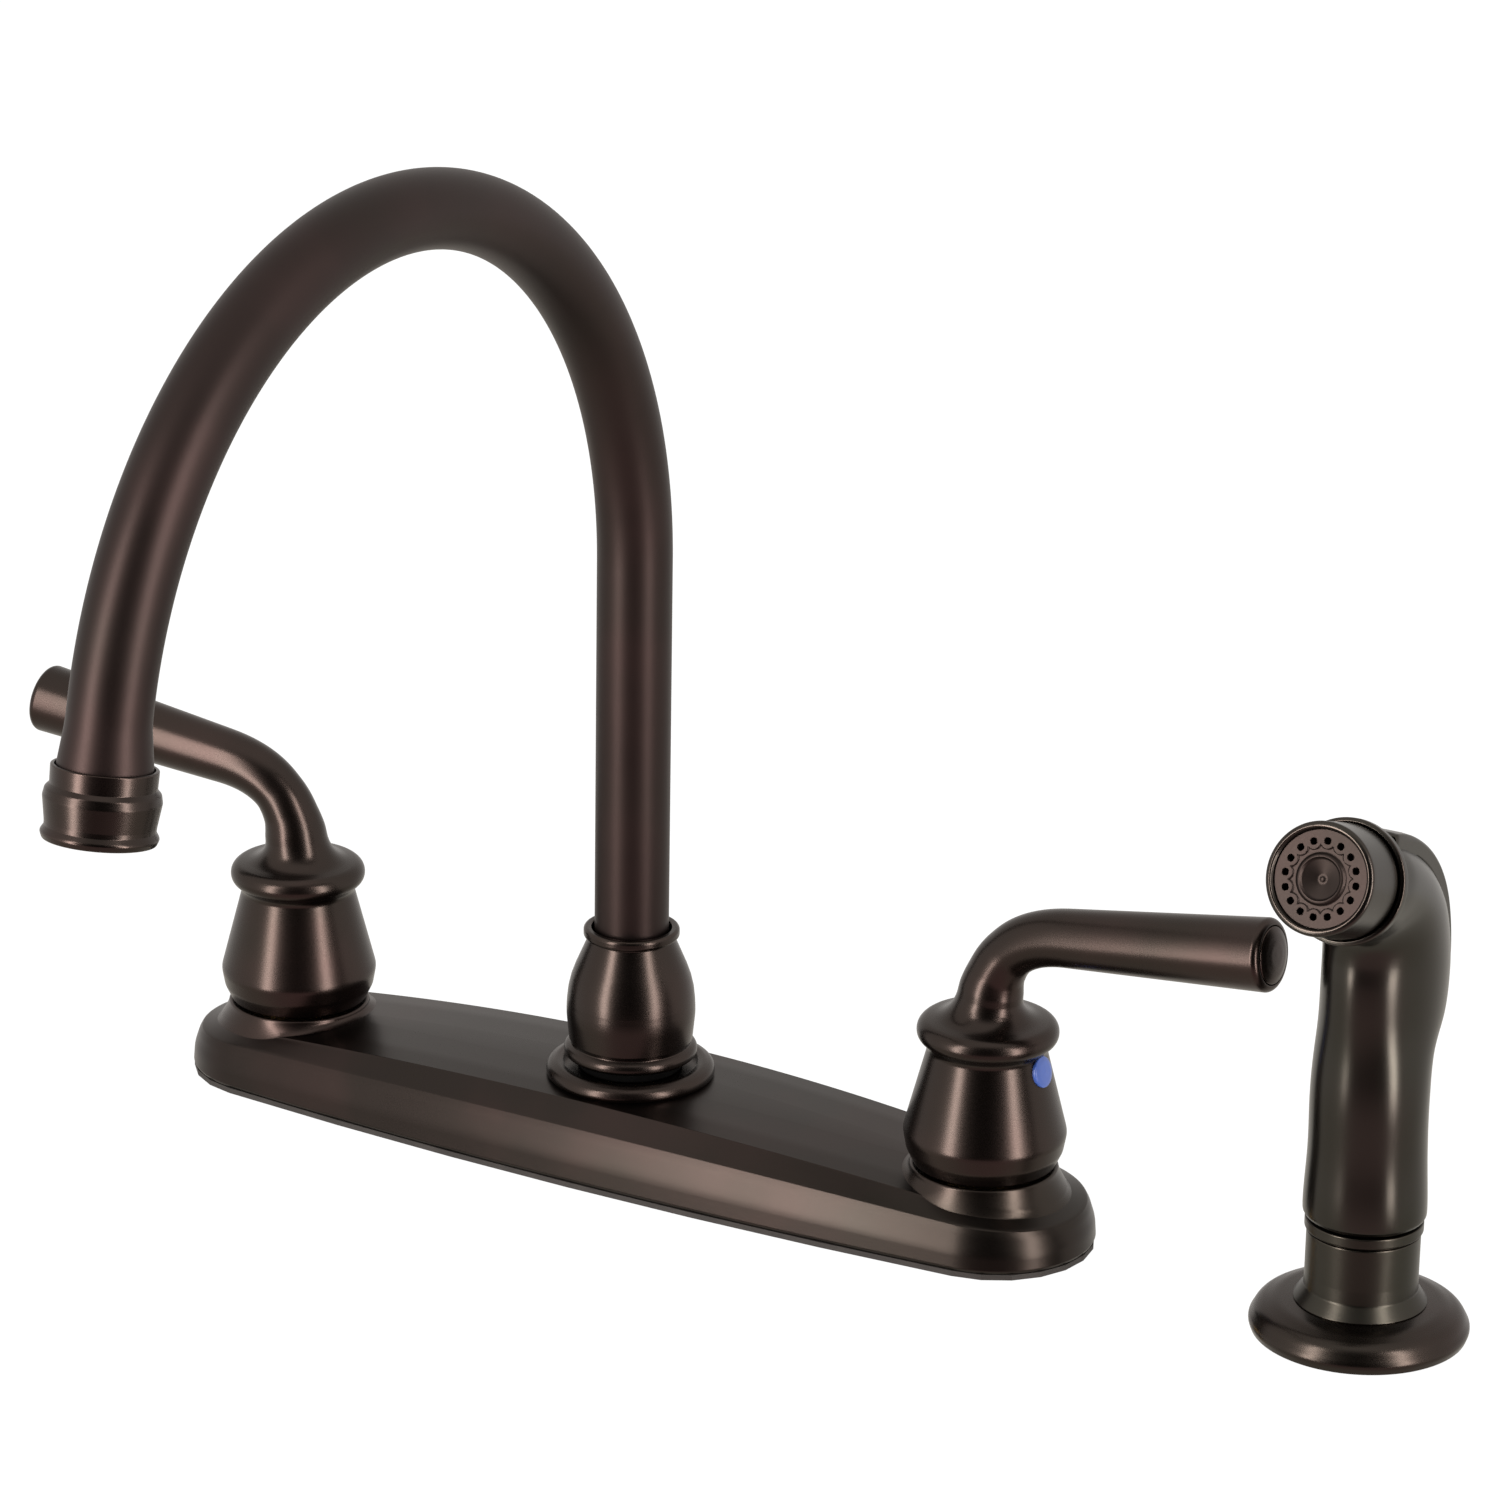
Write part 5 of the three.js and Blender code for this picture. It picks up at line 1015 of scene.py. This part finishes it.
    def build(self) -> None:
        """Makes the fixed guide and the lifting sprayer."""
        turn_out(
            ("sprayer_escutcheon_dome", Finish.DOME, "base", "sprayer_escutcheon", [
                (13.2, 0.0), (25.6, 0.0, 0.6), (26.5, 2.4, 2.4), (24.4, 6.3, 4.5), (20.0, 8.0, 7),
                (15.6, 8.35, 0.3), (13.2, 7.8), (13.2, 0.0)]),
            ("sprayer_guide_sleeve", Finish.SLEEVE, "base", "sprayer_guide", [
                (10.6, -44), (12.6, -44, 0.4), (12.6, 7.9), (15.7, 8.1, 0.15), (15.95, 8.6, 0.15),
                (13.65, 11.9, 0.9), (13.55, 15.5, 3), (13.55, 26.2, 0.35), (11.1, 26.2, 0.3),
                (10.6, 25.0), (10.6, -44)]),
            ("sprayer_ferrule_ring", Finish.SLEEVE, "sprayer", "sprayer_ferrule", [
                (8.3, 26.4), (13.5, 26.4, 0.25), (14.1, 27.0, 0.3), (14.1, 29.3, 0.3), (13.4, 29.4),
                (8.3, 29.4), (8.3, 26.4)]), move=(SPRAYER_X, 0, 0))
        dress(self.body(), Finish.MOULDED, "sprayer", "sprayer_handle")
        turn, move = self.at_head()
        collar = lathe("sprayer_head_collar", [
            (8.5, -3.4), (13.6, -3.4, 0.8), (14.75, -2.4, 0.7), (14.75, -0.3, 0.4), (13.9, 0.0, 0.2),
            (12.3, -0.7, 0.2), (8.5, -0.9), (8.5, -3.4)], turn, move, 112, 0.5)
        dress(collar, Finish.MOULDED, "sprayer")
        turn_out(("sprayer_nozzle_barrel", Finish.MOULDED, "sprayer", "sprayer_nozzle_ring", [
            (8.2, -10.6), (8.2, 0.2), (13.25, 0.2, 0.15), (13.4, 0.9, 0.4), (13.25, 13.2, 3),
            (13.2, 14.9, 1.0), (11.9, 15.3, 0.5), (11.35, 14.5, 0.3), (11.35, 10.6), (6.4, 10.2),
            (6.4, -10.6), (8.2, -10.6)]), turn=turn, move=move, sides=112, step=0.6)
        dress(self.face(), Finish.JET, "sprayer", "sprayer_face")
        dress(self.trigger(), Finish.MOULDED, "trigger", "sprayer_trigger")
        turn_out(("sprayer_trigger_pin_steel", Finish.STEEL, "sprayer", "sprayer_trigger_pin", [
            (0, -7.3), (1.1, -7.3, 0.2), (1.1, 7.3, 0.2), (0, 7.3)]),
            turn=spin("Y", 90), move=(SPRAYER_X, *self.pin), sides=32)
        LOG.info("sprayer")


# ---- the nodes that stay ----
def dress_nodes() -> None:
    """Gives every CAD node that still shows the finish of its material slot."""
    by_slot = {f.value.slot: f for f in reversed(Finish)} | {"rubber": Finish.RUBBER}
    own = {"deck_gasket": Finish.GASKET}
    slots = {p["node"]: p["material_slot"] for p in frame["record"]["subparts"]}
    for name, obj in frame["nodes"].items():
        if not obj.hide_render:
            dress(obj, own.get(name, by_slot[slots[name]]), "")
    LOG.info("hidden waterway nodes dressed")


# ---- studio ----
@dataclass
class Studio:
    """White surroundings, two soft strips and a pale floor."""

    azimuth: float = 30.0
    elevation: float = 19.39
    roll: float = 0.91
    distance: float = 1456.0
    lens: float = 137.14
    shift: Pair = (30.63, 101.29)
    target: tuple[float, float, float] = (20.0, -40.0, 90.0)
    strip_distance: float = 1.3  # metres
    strip_lift: float = 0.355
    strip_tint: Colour = (1.0, 0.93, 0.90)
    floor_half: float = 6000.0
    floor_height: float = -0.3

    def axes(self) -> tuple[Vector, Vector, Vector]:
        """Right, up and back of the camera, after its roll."""
        a, e, r = map(math.radians, (self.azimuth, self.elevation, self.roll))
        back = Vector((math.sin(a) * math.cos(e), -math.cos(a) * math.cos(e), math.sin(e)))
        right = Vector((math.cos(a), math.sin(a), 0))
        up = back.cross(right)
        return right * math.cos(r) + up * math.sin(r), up * math.cos(r) - right * math.sin(r), back

    def camera(self) -> None:
        """The camera at the photograph's angle."""
        data = bpy.data.cameras.new("camera")
        data.lens, data.sensor_width = self.lens, 36.0
        data.clip_start, data.clip_end = 0.05, 50
        obj = linked("camera", data)
        right, up, back = self.axes()
        place = (back * self.distance + right * self.shift[0] + up * self.shift[1]) * MM
        obj.matrix_world = Matrix.Translation(place) @ Matrix((right, up, back)).transposed().to_4x4()
        bpy.context.scene.camera = obj

    def strip(self, name: str, turn: float, size: Pair, power: float) -> None:
        """A strip light of a size in metres, turned about the object from the camera's direction."""
        a = math.radians(self.azimuth + turn)
        target = Vector(self.target) * MM
        place = target + Vector((math.sin(a), -math.cos(a), 0)) * self.strip_distance
        data = bpy.data.lights.new(name, "AREA")
        data.shape, data.size, data.size_y = "RECTANGLE", *size
        data.energy, data.color = power, self.strip_tint
        obj = linked(name, data)
        obj.location = place + Vector((0, 0, self.strip_lift))
        obj.rotation_euler = (target - place).to_track_quat("-Z", "Y").to_euler()

    def world(self) -> None:
        """White seen by the camera; in reflections, pale sides, a dim front and a warm ground."""
        world = bpy.data.worlds.new("studio")
        bpy.context.scene.world = world
        world.use_nodes = True
        g = Graph(world.node_tree)
        ray = g.out("TexCoord", key="Generated")
        a = math.radians(self.azimuth)
        facing = g.out("VectorMath", {0: ray, 1: (math.sin(a), -math.cos(a), 0)}, "Value",
                       operation="DOT_PRODUCT")
        height = g.out("SeparateXYZ", {0: ray}, "Z")
        front = g.ramp(facing, 0.30, 0.80)
        behind = 1 - g.ramp(facing, -1.0, 0.0)
        ground = 1 - g.ramp(height, -0.42, -0.24)
        walls = g.mix(behind, (1.0, 0.97, 0.94), (0.72, 0.69, 0.66))
        round_about = g.mix(front, walls, (0.005, 0.005, 0.006))
        low = g.mix(front, (0.72, 0.68, 0.61), (0.62, 0.44, 0.44))
        seen = g.mix(ground, round_about, low)
        shown = g.mix(g.out("LightPath", key="Is Camera Ray"), seen, (1.0, 1.0, 1.0))
        g.node("OutputWorld", {"Surface": g.out("Background", {"Color": shown})})

    def floor(self) -> None:
        """A pale floor that shows white to the camera and keeps a soft shadow."""
        plan = np.array([(-1, -1), (1, -1), (1, 1), (-1, 1)]) * self.floor_half
        corners = np.c_[plan, np.full(4, self.floor_height)] * MM
        obj = make_mesh("floor", corners, [np.array([[0, 1, 2, 3]])])
        obj.data.materials.append(self.floor_finish())
        obj.visible_glossy = False
        obj.visible_shadow = False

    def floor_finish(self) -> Material:
        """Mostly white light for the camera, and a matt white that catches shadow."""
        g = Surface("pale_floor")
        g.set(base_color=(0.8, 0.8, 0.8), roughness=0.9, specular_ior_level=0.0)
        camera = g.out("LightPath", key="Is Camera Ray")
        glow = g.out("Emission", {"Color": (1.0, 1.0, 1.0), "Strength": 1.1})
        both = g.out("MixShader", {0: camera * 0.9, 1: g.lit, 2: glow})
        g.join(both, g.end.inputs["Surface"])
        return g.material

    def build(self) -> None:
        """Sets the camera, the lights, the world and the floor."""
        scene = bpy.context.scene
        scene.view_settings.view_transform = "Standard"
        self.camera()
        self.world()
        self.strip("strip_left", -49, (0.28, 1.57), 21.5)
        self.strip("strip_right", 46, (0.26, 1.57), 18.8)
        self.floor()
        LOG.info("studio")


def main() -> None:
    """Builds every sub-assembly in order."""
    logging.basicConfig(level=logging.INFO, format="%(message)s")
    Studio().build()
    DeckPlate().build()
    LeverHandle("hot", -1, 185.2, Finish.RED, 3.5, 0.45).build()
    LeverHandle("cold", 1, -1.4, Finish.BLUE).build()
    Spout().build()
    Sprayer().build()
    dress_nodes()


if __name__ == "__main__":
    main()
